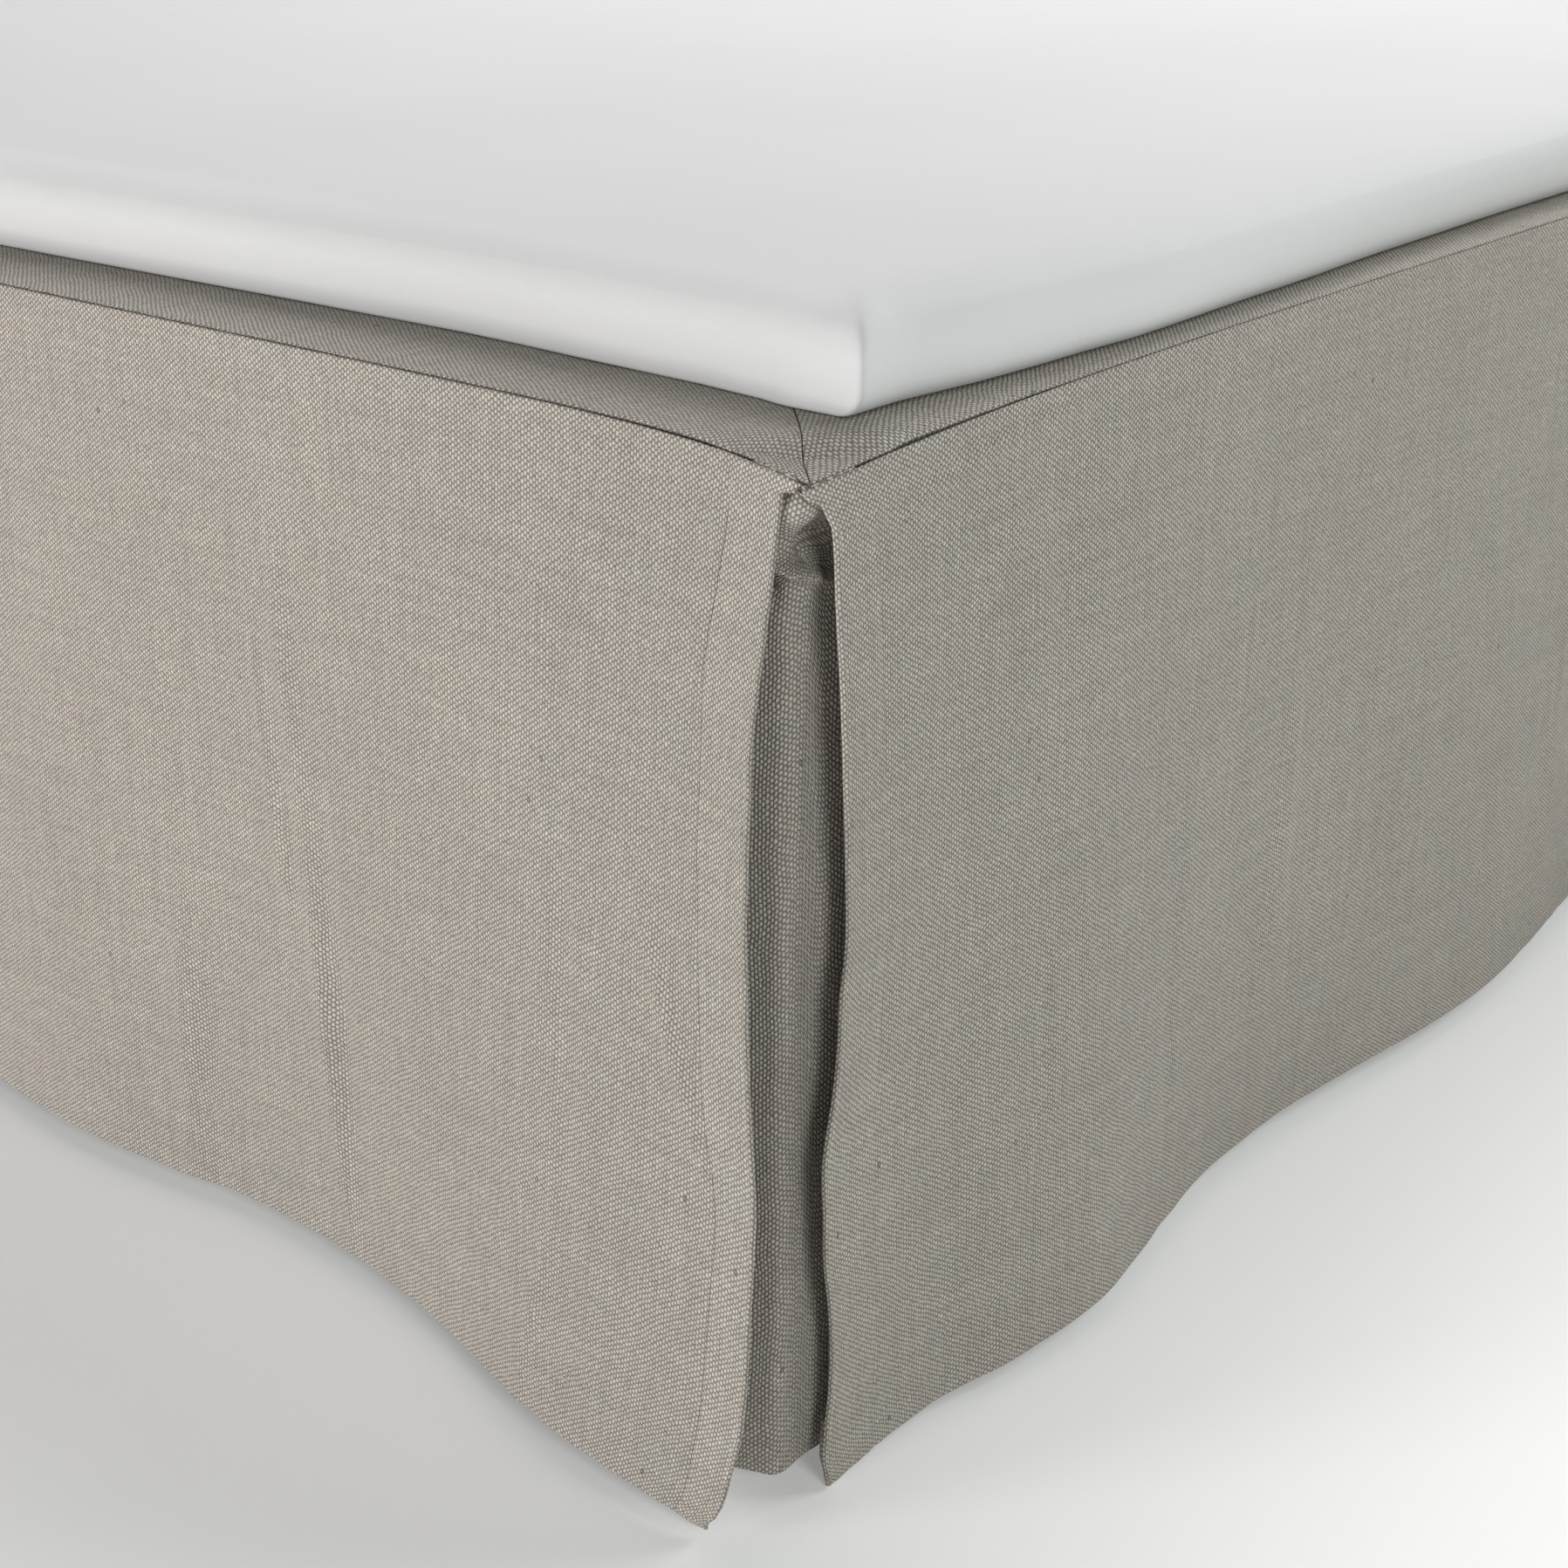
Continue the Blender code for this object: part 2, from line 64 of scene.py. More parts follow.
# camera, set up first
view = {
    "fromCorner": (0.6185, -0.7761, 0.2668),   # from the right foot corner of the deck
    "tiltDown": 22.267,
    "turnLeft": 39.434,
    "lens": 58.86,
}
cameraData = bpy.data.cameras.new("camera")
cameraData.lens = view["lens"]
cameraData.sensor_width = 36.0
cameraData.clip_start = 0.05
camera = bpy.data.objects.new("camera", cameraData)
camera.location = middle + Vector((halfWidth, -halfLength, deckTop)) + Vector(view["fromCorner"])
camera.rotation_euler = (math.radians(90 - view["tiltDown"]), 0.0, math.radians(view["turnLeft"]))
scene.collection.objects.link(camera)
scene.camera = camera
print("camera set")


# small tools
def smoothThrough(points, at):
    # a smooth curve through (place, value) points, level at both ends
    if at <= points[0][0]:
        return points[0][1]
    if at >= points[-1][0]:
        return points[-1][1]
    last = len(points) - 1
    index = next(i for i in range(last) if at <= points[i + 1][0])
    (x0, y0), (x1, y1) = points[index], points[index + 1]

    def slope(i):
        if i in (0, last):
            return 0.0
        (xa, ya), (xb, yb) = points[i - 1], points[i + 1]
        return (yb - ya) / (xb - xa)

    t = (at - x0) / (x1 - x0)
    rise = y1 - y0
    start, end = slope(index) * (x1 - x0), slope(index + 1) * (x1 - x0)
    return y0 + start * t + (3 * rise - 2 * start - end) * t**2 + (start + end - 2 * rise) * t**3


def easeIn(at, low, high):
    t = min(max((at - low) / (high - low), 0.0), 1.0)
    return t * t * (3 - 2 * t)


def bump(at, centre, wide):
    return math.exp(-(((at - centre) / wide) ** 2))


def uneven(wave, along, across, seed):
    # wave is the height and how many waves there are to a metre, along and across
    high, alongWaves, acrossWaves = wave
    return high * noise.noise(Vector((along * alongWaves, across * acrossWaves, seed)))


def raisedBy(forms, along, down):
    # forms are soft ridges and hollows: along, down, half length, half width, lean (along per down), height
    rise = 0.0
    for centre, level, long, wide, lean, high in forms:
        beside = along - centre - lean * (down - level)
        rise += high * bump(beside, 0.0, wide) * bump(down, level, long)
    return rise


def addPiece(name, shape, material):
    mesh = bpy.data.meshes.new(name)
    shape.to_mesh(mesh)
    shape.free()
    mesh.materials.append(material)
    mesh.shade_smooth()
    piece = bpy.data.objects.new(name, mesh)
    scene.collection.objects.link(piece)
    return piece


# material tools
def put(tree, kind, feeds=(), **settings):
    made = tree.nodes.new(kind)
    for key, value in settings.items():
        setattr(made, key, value)
    for place, feed in feeds:
        if isinstance(feed, bpy.types.NodeSocket):
            tree.links.new(feed, made.inputs[place])
        else:
            made.inputs[place].default_value = feed
    return made


def calc(tree, operation, *feeds):
    return put(tree, "ShaderNodeMath", enumerate(feeds), operation=operation).outputs[0]


def times(tree, first, second):
    return calc(tree, "MULTIPLY", first, second)


def plus(tree, first, second):
    return calc(tree, "ADD", first, second)


def parted(tree, vector):
    return put(tree, "ShaderNodeSeparateXYZ", ((0, vector),)).outputs


def joined(tree, *parts):
    return put(tree, "ShaderNodeCombineXYZ", enumerate(parts)).outputs[0]


def waves(tree, value, pitch):
    return calc(tree, "SINE", times(tree, value, 2 * math.pi / pitch))


def grain(tree, at, scale, detail=2.0, roughness=0.5):
    feeds = (("Vector", at), ("Scale", scale), ("Detail", detail), ("Roughness", roughness))
    return put(tree, "ShaderNodeTexNoise", feeds).outputs["Fac"]


def spread(tree, value, fromLow, fromHigh, toLow, toHigh):
    feeds = ((0, value), (1, fromLow), (2, fromHigh), (3, toLow), (4, toHigh))
    return put(tree, "ShaderNodeMapRange", feeds, clamp=True).outputs[0]


def mixed(tree, share, first, second, blend="MIX"):
    feeds = ((0, share), (6, first), (7, second))
    return put(tree, "ShaderNodeMix", feeds, data_type="RGBA", blend_type=blend).outputs[2]


def between(tree, value, low, high, first, second):
    # from the first colour to the second as the value goes from low to high
    return mixed(tree, spread(tree, value, low, high, 0.0, 1.0), first, second)


def coverWith(tree, shader, colour, height, distance, strength):
    # the colour, and a height that shows as relief
    tree.links.new(colour, shader.inputs["Base Color"])
    feeds = (("Strength", strength), ("Distance", distance), ("Height", height))
    tree.links.new(put(tree, "ShaderNodeBump", feeds).outputs["Normal"], shader.inputs["Normal"])


def newFinish(name, roughness, specular, sheen=0.0):
    material = bpy.data.materials.new(name)
    material.use_nodes = True
    shader = material.node_tree.nodes["Principled BSDF"]
    shader.inputs["Roughness"].default_value = roughness
    shader.inputs["Specular IOR Level"].default_value = specular
    shader.inputs["Sheen Weight"].default_value = sheen
    return material, material.node_tree, shader


# the skirt's cloth: plump two-end canvas, its grains in half-offset columns
canvas = {
    "grainWide": 0.00188,
    "grainTall": 0.00272,
    "top": (0.600, 0.552, 0.491, 1.0),
    "warmTop": (0.630, 0.552, 0.489, 1.0),
    "coolTop": (0.560, 0.555, 0.499, 1.0),
    "gap": (0.262, 0.236, 0.203, 1.0),
    "relief": 0.00060,
    # the yarns' wander: scale of the pattern, reach
    "drift": (34.0, 0.0030),
    "unevenness": (230.0, 0.0011),
    # a grain across and down: how far it strays from its middle, how square it is, how steep its sides
    "acrossShape": (0.07, 2.2, 4.8),
    "downShape": (0.10, 2.3, 8.2),
    # how much grains and yarns differ, around 1
    "grainSizes": 0.08,
    "grainShades": 0.075,
    "warpShades": 0.07,
    "weftShades": 0.06,
    "cloudShades": 0.035,
    "fibreShades": 0.17,
    "slubs": (0.00010, 0.00025),   # share of grains that are dark flecks, and that come close to it
    "slubShade": 0.52,
    "hollowPaintedShade": 0.52,     # painted shade at the deepest of a gap
    # the seam
    "stitch": 0.0031,
    "ditch": (0.0007, 0.0010, 0.00020),   # least width, how ragged, how much wider at a stitch
    "ditchShade": 0.38,
    "seamFade": (0.050, 0.150),   # along the sides the seam closes up between these distances from the foot
    # the side hems: painted shade along their stitching, and painted light that makes the doubled hem paler
    "hemStitch": (0.00042, 0.00014),   # half width, how much wider in a stitch
    "hemStitchPaintedShade": 0.42,
    # painted light: how much paler the doubled hem is painted
    "hemPaintedPaler": 0.07,
}


def makeCanvas():
    material, tree, shader = newFinish("skirtCanvas", 0.92, 0.25, 0.08)
    coordinates = put(tree, "ShaderNodeTexCoord").outputs
    flat = coordinates["UV"]
    across, down = parted(tree, flat)[0:2]
    driftScale, driftReach = canvas["drift"]
    unevenScale, unevenReach = canvas["unevenness"]
    drift = put(tree, "ShaderNodeTexNoise", (("Vector", flat), ("Scale", driftScale), ("Detail", 1.0)))
    uneven = put(tree, "ShaderNodeTexNoise", (("Vector", flat), ("Scale", unevenScale), ("Detail", 1.0)))
    driftParts = parted(tree, drift.outputs["Color"])
    unevenParts = parted(tree, uneven.outputs["Color"])

    def wander(value, axis):
        slow = calc(tree, "MULTIPLY_ADD", driftParts[axis], driftReach, value)
        return calc(tree, "MULTIPLY_ADD", unevenParts[axis], unevenReach, slow)

    column = calc(tree, "DIVIDE", wander(across, 0), canvas["grainWide"])
    columnIndex = calc(tree, "FLOOR", column)
    odd = calc(tree, "FLOORED_MODULO", columnIndex, 2.0)
    row = calc(tree, "MULTIPLY_ADD", odd, 0.5, calc(tree, "DIVIDE", wander(down, 1), canvas["grainTall"]))
    rowIndex = calc(tree, "FLOOR", row)
    cell = joined(tree, columnIndex, rowIndex, 0.0)
    dice = put(tree, "ShaderNodeTexWhiteNoise", ((0, cell),), noise_dimensions="3D")
    chance = dice.outputs["Value"]
    diceParts = parted(tree, dice.outputs["Color"])

    def fallAway(value, axis, shape):
        stray, power, steep = shape
        off = calc(tree, "SUBTRACT", calc(tree, "FRACT", value), 0.5 + stray / 2)
        off = calc(tree, "MULTIPLY_ADD", diceParts[axis], stray, off)
        return times(tree, calc(tree, "POWER", calc(tree, "ABSOLUTE", off), power), steep)

    def around(value, change):
        return calc(tree, "MULTIPLY_ADD", value, 2 * change, 1 - change)

    # each grain is a rounded pillow a little off the middle of its own cell
    fall = plus(tree, fallAway(column, 0, canvas["acrossShape"]), fallAway(row, 1, canvas["downShape"]))
    fall = times(tree, fall, around(diceParts[2], canvas["grainSizes"]))
    pillow = calc(tree, "POWER", calc(tree, "MAXIMUM", calc(tree, "SUBTRACT", 1.0, fall), 0.0), 0.85)
    tint = grain(tree, flat, 24.0, 2.0, 0.5)
    yarn = between(tree, tint, 0.35, 0.65, canvas["warmTop"], canvas["coolTop"])
    yarn = mixed(tree, 0.6, yarn, canvas["top"])
    colour = between(tree, pillow, 0.0, 0.75, canvas["gap"], yarn)
    # each grain and each yarn has its own shade, a few grains are dark flecks, and painted shade darkens the
    # deepest gaps
    warpPlace = joined(tree, times(tree, columnIndex, 3.71), times(tree, down, 14.0), 0.0)
    weftPlace = joined(tree, times(tree, across, 14.0), times(tree, rowIndex, 5.13), 4.0)
    fibre = grain(tree, flat, 2400.0, 2.0, 0.7)
    shades = [around(chance, canvas["grainShades"])]
    for pattern, low, high, change in (
        (grain(tree, warpPlace, 1.0, 1.0), 0.25, 0.75, canvas["warpShades"]),
        (grain(tree, weftPlace, 1.0, 1.0), 0.25, 0.75, canvas["weftShades"]),
        (grain(tree, flat, 5.0, 3.0, 0.6), 0.3, 0.7, canvas["cloudShades"]),
        (fibre, 0.25, 0.75, canvas["fibreShades"]),
    ):
        shades.append(spread(tree, pattern, low, high, 1 - change, 1 + change))
    shades.append(spread(tree, chance, *canvas["slubs"], canvas["slubShade"], 1.0))
    # painted shade in the deepest gaps between grains
    shades.append(spread(tree, fall, 1.3, 2.6, 1.0, canvas["hollowPaintedShade"]))
    # the seam is a shaded ditch, wider at each stitch; seams lie at the top of the flat pattern
    narrow, ragged, atStitch = canvas["ditch"]
    ditch = calc(tree, "MULTIPLY_ADD", uneven.outputs["Fac"], ragged, narrow)
    ditch = calc(tree, "MULTIPLY_ADD", waves(tree, across, canvas["stitch"]), atStitch, ditch)
    inDitch = times(tree, calc(tree, "LESS_THAN", down, ditch), calc(tree, "GREATER_THAN", down, -0.004))
    fadeFrom, fadeTo = [middle.y - halfLength + distance for distance in canvas["seamFade"]]
    closed = spread(tree, parted(tree, coordinates["Object"])[1], fadeFrom, fadeTo, 0.0, 0.8)
    inDitch = times(tree, inDitch, calc(tree, "SUBTRACT", 1.0, closed))
    shades.append(calc(tree, "MULTIPLY_ADD", inDitch, canvas["ditchShade"] - 1, 1.0))
    # painted shade along the stitching that holds the side hems: the mark gives the distance to it, the
    # strength of the painted shade there and the hem's
    mark = put(tree, "ShaderNodeAttribute", attribute_name="hemStitch").outputs["Vector"]
    distance, strength, hemStrength = parted(tree, mark)
    halfLine, inStitch = canvas["hemStitch"]
    wobble = calc(tree, "MULTIPLY_ADD", unevenParts[0], 0.0010, distance)
    off = calc(tree, "ABSOLUTE", calc(tree, "SUBTRACT", wobble, 0.0005))
    line = calc(tree, "MULTIPLY_ADD", waves(tree, down, canvas["stitch"]), inStitch, halfLine)
    near = times(tree, calc(tree, "LESS_THAN", off, line), strength)
    shades.append(calc(tree, "MULTIPLY_ADD", near, canvas["hemStitchPaintedShade"] - 1, 1.0))
    # painted light: doubled cloth lets no light through, so the hem is painted a little paler
    doubled = spread(tree, wobble, -0.001, 0.002, canvas["hemPaintedPaler"], 0.0)
    shades.append(calc(tree, "MULTIPLY_ADD", doubled, hemStrength, 1.0))
    shade = shades[0]
    for another in shades[1:]:
        shade = times(tree, shade, another)
    colour = mixed(tree, 1.0, colour, joined(tree, shade, shade, shade), "MULTIPLY")
    coverWith(tree, shader, colour, calc(tree, "MULTIPLY_ADD", fibre, 0.35, pillow), canvas["relief"], 1.0)
    return material


skirtCanvas = makeCanvas()
print("skirt canvas woven")


# how the deck cloth droops past the base, and how the corner is pulled
droop = {
    "right": {"depth": 0.0125, "alongFoot": 0.052, "alongSide": 0.095},
    "left": {"depth": 0.0100, "alongFoot": 0.075, "alongSide": 0.070},
    "curve": 1.5,
    "pull": Vector((-0.005, -0.002, 0.0)),
    "pullFade": 0.050,
}


def outsideFlatTop(x, y):
    # how far a point lies outside the flat top of the base, whose corners are round
    straight = bed["baseInset"] + bed["baseCorner"]
    beyondX = abs(x) - (halfWidth - straight)
    beyondY = abs(y) - (halfLength - straight)
    corner = math.hypot(max(beyondX, 0.0), max(beyondY, 0.0))
    return corner + min(max(beyondX, beyondY), 0.0) - (bed["baseCorner"] - bed["baseEdge"])


def deckSag(x, y):
    overhang = bed["baseInset"] + bed["baseEdge"] - bed["edgeClear"]
    free = min(max((outsideFlatTop(x, y) - bed["edgeClear"]) / overhang, 0.0), 1.0)
    fromFoot = max(y + halfLength, 0.0)
    sag = 0.0
    for side, fromSide in (("right", halfWidth - x), ("left", halfWidth + x)):
        corner = droop[side]
        fade = max(fromSide, 0.0) / corner["alongFoot"] + fromFoot / corner["alongSide"]
        sag += corner["depth"] * math.exp(-fade)
    return sag * free ** droop["curve"]


def cornerPull(x, y):
    distance = abs(halfWidth - x) + abs(y + halfLength)
    return droop["pull"] * math.exp(-distance / droop["pullFade"])


# cloth: thickness, turned edges and the seam between band and drop
cloth = {
    "thick": 0.0009,
    "turn": 0.00095,         # radius of a turn in one layer, on the face of the cloth
    "edgeTurn": 0.0015,      # the side edges are turned twice, so they roll wider
    "between": 0.0001,       # between two layers of a hem
    "sideHem": 0.026,
    "bottomHem": 0.038,
    "lipTurn": 2.356,        # each side of the seam turns in by this, radians
    "allowance": 0.0010,     # what is modelled of the cloth inside the seam
    "seamRise": 0.0012,      # the layers inside the seam lift its edge
    "riseFade": 0.012,
    "seamLip": 0.0023,       # from the deck's top to where the drop is measured
}
lipBack = cloth["turn"] + (2 * cloth["turn"] + 0.0002) / math.sqrt(2)


def turnedStop(zone, value, radius):
    # zone and value of a stop -> distance from the finished edge, depth behind the face, flat distance
    if zone == "turn":
        return radius - radius * math.sin(value), radius * (1 - math.cos(value)), radius - radius * value
    if zone == "back":
        return radius + value, 2 * radius, radius - math.pi * radius - value
    return value, 0.0, value


def backDepth(fromEdge, radius):
    # the turned layer closes in on the face a little way from the roll
    return 2 * radius - 2 * (radius - cloth["turn"]) * easeIn(fromEdge, radius, 0.011)


def turnStops(steps=5):
    return [("turn", math.pi * i / steps) for i in range(steps + 1)]


def seamStop(zone, value):
    # a stop in the seam, where the face turns in and then runs straight:
    # how far it is behind the face and along it, and its flat distance
    turn = cloth["turn"]
    angle = value if zone == "lip" else cloth["lipTurn"]
    past = value if zone == "allowance" else 0.0
    behind = turn - turn * math.cos(angle) + past / math.sqrt(2)
    along = lipBack - turn * math.sin(angle) + past / math.sqrt(2)
    return behind, along, lipBack - turn * angle - past


def layCloth(name, across, down, place, thick=None, material=None, measured=False, marks=None):
    # a grid whose stops go where place says, outer face first, then given its thickness on the back
    grid = bmesh.new()
    bmesh.ops.create_grid(grid, x_segments=len(across) - 1, y_segments=len(down) - 1, size=0.5)
    flatLayer = grid.loops.layers.uv.new("flat")
    markLayer = grid.verts.layers.float_vector.new("hemStitch") if marks else None
    flat, spots = {}, {}
    for vertex in grid.verts:
        column = round((vertex.co.x + 0.5) * (len(across) - 1))
        row = round((0.5 - vertex.co.y) * (len(down) - 1))
        vertex.co, flat[vertex.index] = place(across[column], down[row])
        if marks:
            vertex[markLayer] = marks(across[column], down[row])
        spots[column, row] = vertex
    if measured:
        flat = measureFlat(spots, len(across), len(down))
    for face in grid.faces:
        for loop in face.loops:
            loop[flatLayer].uv = flat[loop.vert.index]
    piece = addPiece(name, grid, material or skirtCanvas)
    body = piece.modifiers.new("thickness", "SOLIDIFY")
    body.thickness = thick or cloth["thick"]
    body.offset = -1
    body.use_quality_normals = True
    return piece


def measureFlat(spots, columns, rows):
    # the flat place of each point by tape measure: across from the middle column, down from the top row
    flat = {}
    middleColumn = columns // 2
    for row in range(rows):
        for way in (1, -1):
            across, column = 0.0, middleColumn
            while 0 <= column < columns:
                flat[spots[column, row].index] = [across, 0.0]
                if 0 <= column + way < columns:
                    across += way * (spots[column + way, row].co - spots[column, row].co).length
                column += way
    for column in range(columns):
        down = 0.0
        for row in range(rows):
            if row:
                down -= (spots[column, row].co - spots[column, row - 1].co).length
            flat[spots[column, row].index][1] = down
    return flat


def evenSteps(low, high, step):
    count = max(round((high - low) / step), 1)
    return [low + (high - low) * i / count for i in range(count + 1)]


# drop panels
drop = {
    "length": 0.498,
    "foldGrowth": 1.1,
    "edgeFade": 0.060,
    "archFade": 0.014,
    "step": 0.0045,
    "rowStep": 0.0075,
    # unevenness: height, waves to a metre
    "slack": (0.0010, 13.0, 3.2),
    "ripple": (0.00035, 42.0, 17.0),
    "seamPucker": (0.00028, 85.0, 30.0),
    "hemPucker": (0.00040, 60.0, 0.0),
    # what shows of the hems on the face
    "hemStep": 0.00050,      # doubled cloth stands higher
    "hemGroove": 0.00055,    # pressed in along the inner edge of a side hem
    "edgeGroove": 0.00030,   # and just inside the turned edge
    "bottomGroove": 0.00012,
    "setBack": 0.003,        # the corners of the hem are drawn in
}
footPanel = {
    "length": 2 * halfWidth,
    # along from the right end, how far the hem stands out
    "folds": [
        (0.00, 0.051), (0.10, 0.049), (0.155, 0.040), (0.225, 0.020), (0.285, 0.007), (0.345, 0.000),
        (0.410, -0.001), (0.480, 0.008), (0.560, 0.013), (0.680, 0.003), (0.800, -0.006), (0.920, 0.004),
        (1.020, 0.014), (1.140, 0.005), (1.250, -0.007), (1.370, 0.003), (1.480, 0.019), (1.600, 0.029),
    ],
    # down from the seam, how far the free edge stays from the corner
    "startEdge": [
        (0.000, 0.0155), (0.012, 0.0165), (0.040, 0.0190), (0.075, 0.0226), (0.098, 0.0251), (0.121, 0.0264),
        (0.151, 0.0256), (0.198, 0.0239), (0.233, 0.0206), (0.272, 0.0164), (0.310, 0.0107), (0.330, 0.0083),
        (0.373, 0.0078), (0.416, 0.0073), (0.439, 0.0086), (0.459, 0.0126), (0.476, 0.0159), (0.487, 0.0198),
        (0.496, 0.0255),
    ],
    "startArch": (0.0125, 0.0058),
    "endEdge": [
        (0.000, 0.0130), (0.060, 0.0175), (0.150, 0.0200), (0.260, 0.0150), (0.330, 0.0105), (0.410, 0.0115),
        (0.470, 0.0150), (0.496, 0.0210),
    ],
    "endArch": (0.0100, 0.0055),
    "hemShows": 1.0,         # how strongly the painted shade at the side hems' stitching and the painted paler hem show
    # a faint line where the inner edge of the side hem shows: down, along
    "hemLine": [
        (0.024, 0.0359), (0.054, 0.0391), (0.088, 0.0434), (0.105, 0.0436), (0.128, 0.0416), (0.170, 0.0420),
        (0.198, 0.0403), (0.238, 0.0384), (0.266, 0.0367), (0.300, 0.0340), (0.322, 0.0287), (0.345, 0.0255),
        (0.378, 0.0263), (0.437, 0.0277), (0.494, 0.0277),
    ],
    "creases": [
        (0.345, 0.170, 0.060, 0.007, -0.05, 0.0030),
        (0.360, 0.255, 0.060, 0.006, -0.10, 0.0033),
        (0.331, 0.370, 0.110, 0.008, -0.06, 0.0048),
        (0.318, 0.360, 0.100, 0.010, -0.06, -0.0030),
        (0.058, 0.270, 0.045, 0.006, -0.41, 0.0027),
        (0.130, 0.290, 0.130, 0.008, -0.055, -0.0021),
        (0.185, 0.425, 0.040, 0.006, 0.55, 0.0024),
        (0.150, 0.450, 0.035, 0.006, 0.20, 0.0027),
        (0.120, 0.470, 0.030, 0.007, 0.90, -0.0024),
        (0.450, 0.410, 0.080, 0.012, 0.05, 0.0036),
        (0.760, 0.300, 0.120, 0.016, 0.04, 0.0018),
        (1.080, 0.340, 0.140, 0.014, -0.05, 0.0018),
        (1.330, 0.260, 0.120, 0.017, 0.03, 0.0015),
    ],
}
rightPanel = {
    "length": 2 * halfLength,
    "folds": [
        (0.00, -0.005), (0.09, -0.003), (0.148, 0.009), (0.220, 0.015), (0.280, 0.006), (0.365, -0.008),
        (0.450, -0.010), (0.525, -0.003), (0.600, 0.006), (0.690, 0.012), (0.790, 0.004), (0.890, -0.007),
        (0.990, -0.002), (1.090, 0.010), (1.190, 0.013), (1.300, 0.002), (1.410, -0.008), (1.530, 0.001),
        (1.640, 0.011), (1.760, 0.003), (1.880, -0.004), (2.000, 0.005),
    ],
    "startEdge": [
        (0.000, 0.0050), (0.008, 0.0078), (0.014, 0.0108), (0.022, 0.0148), (0.055, 0.0172), (0.095, 0.0205),
        (0.135, 0.0228), (0.198, 0.0255), (0.222, 0.0245), (0.240, 0.0212), (0.262, 0.0204), (0.283, 0.0178),
        (0.303, 0.0134), (0.322, 0.0108), (0.345, 0.0118), (0.372, 0.0126), (0.396, 0.0160), (0.421, 0.0173),
        (0.447, 0.0162), (0.470, 0.0132), (0.480, 0.0125), (0.496, 0.0165),
    ],
    "startArch": (0.0085, 0.0075),
    "endEdge": [(0.000, 0.0000), (0.200, 0.0040), (0.494, 0.0020)],
    "endArch": (0.0, 0.005),
    "hemShows": 0.3,
    "hemLine": [(0.030, 0.034), (0.200, 0.040), (0.494, 0.042)],
    "creases": [
        (0.085, 0.0235, 0.004, 0.020, 0.0, 0.0012),
        (0.125, 0.0185, 0.004, 0.022, 0.0, 0.0015),
        (0.168, 0.0145, 0.004, 0.022, 0.0, 0.0015),
        (0.040, 0.034, 0.012, 0.012, -1.2, -0.0012),
        (0.180, 0.090, 0.050, 0.012, 0.10, -0.0018),
        (0.300, 0.380, 0.110, 0.010, 0.02, -0.0027),
        (0.425, 0.330, 0.120, 0.012, -0.03, 0.0027),
        (0.780, 0.300, 0.130, 0.016, 0.03, 0.0018),
        (1.120, 0.320, 0.140, 0.014, -0.04, 0.0015),
        (1.480, 0.280, 0.120, 0.018, 0.02, 0.0018),
        (1.800, 0.330, 0.110, 0.015, -0.03, 0.0015),
    ],
}
leftPanel = {
    "length": 2 * halfLength,
    "folds": [
        (0.00, 0.013), (0.08, 0.009), (0.170, 0.000), (0.270, -0.008), (0.380, -0.001), (0.490, 0.011),
        (0.600, 0.014), (0.720, 0.004), (0.840, -0.007), (0.950, -0.008), (1.070, 0.004), (1.180, 0.012),
        (1.300, 0.005), (1.430, -0.005), (1.550, -0.006), (1.670, 0.005), (1.780, 0.012), (1.900, 0.006),
        (2.000, -0.003),
    ],
    "startEdge": [
        (0.000, 0.0090), (0.020, 0.0130), (0.120, 0.0175), (0.230, 0.0150), (0.310, 0.0100), (0.400, 0.0120),
        (0.470, 0.0110), (0.496, 0.0160),
    ],
    "startArch": (0.0070, 0.0070),
    "endEdge": [(0.000, 0.0000), (0.200, 0.0040), (0.494, 0.0020)],
    "endArch": (0.0, 0.005),
    "hemShows": 0.3,
    "hemLine": [(0.030, 0.036), (0.200, 0.042), (0.494, 0.040)],
    "creases": [
        (0.240, 0.300, 0.130, 0.015, 0.03, 0.0018),
        (0.560, 0.330, 0.110, 0.018, -0.03, 0.0015),
        (0.900, 0.280, 0.140, 0.014, 0.02, 0.0018),
        (1.260, 0.320, 0.120, 0.016, -0.04, 0.0015),
        (1.700, 0.300, 0.120, 0.017, 0.02, 0.0018),
    ],
}


def panelRelief(panel, along, down, seed):
    # small unevenness on the big folds: creases, slack between them, pucker at seam and hem, and the hems
    length = panel["length"]
    toHem = max(drop["length"] - down, 0.0)
    relief = raisedBy(panel["creases"], along, down)
    relief += uneven(drop["slack"], along, down, seed) * easeIn(down, 0.02, 0.25)
    relief += uneven(drop["ripple"], along, down, seed + 3.0) * easeIn(down, 0.004, 0.05)
    relief += uneven(drop["seamPucker"], along, down, seed + 7.0) * math.exp(-down / 0.010)
    relief += uneven(drop["hemPucker"], along, down, seed + 11.0) * math.exp(-toHem / 0.030)
    hemLine = smoothThrough(panel["hemLine"], down)
    for edge in (along, length - along):
        relief -= drop["hemGroove"] * bump(edge, hemLine, 0.0017) * easeIn(down, 0.01, 0.06)
        relief += drop["hemStep"] * (1 - easeIn(edge, hemLine - 0.002, hemLine + 0.002))
        relief -= drop["edgeGroove"] * bump(edge, 0.0040, 0.0007)
    relief -= drop["bottomGroove"] * bump(toHem, cloth["bottomHem"], 0.0016)
    return relief


def archShift(arch, fromEdge, fromSeam):
    # right under the seam the free edge sweeps towards the corner and closes the split with a small arch
    reach, deep = arch
    left = max(1 - fromSeam / deep, 0.0)
    return reach * math.sqrt(left) * math.exp(-max(fromEdge - 0.005, 0.0) / drop["archFade"])


def bothArches(panel, along, down):
    fromSeam = max(down - cloth["seamLip"], 0.0)
    shift = archShift(panel["endArch"], panel["length"] - along, fromSeam)
    return shift - archShift(panel["startArch"], along, fromSeam)


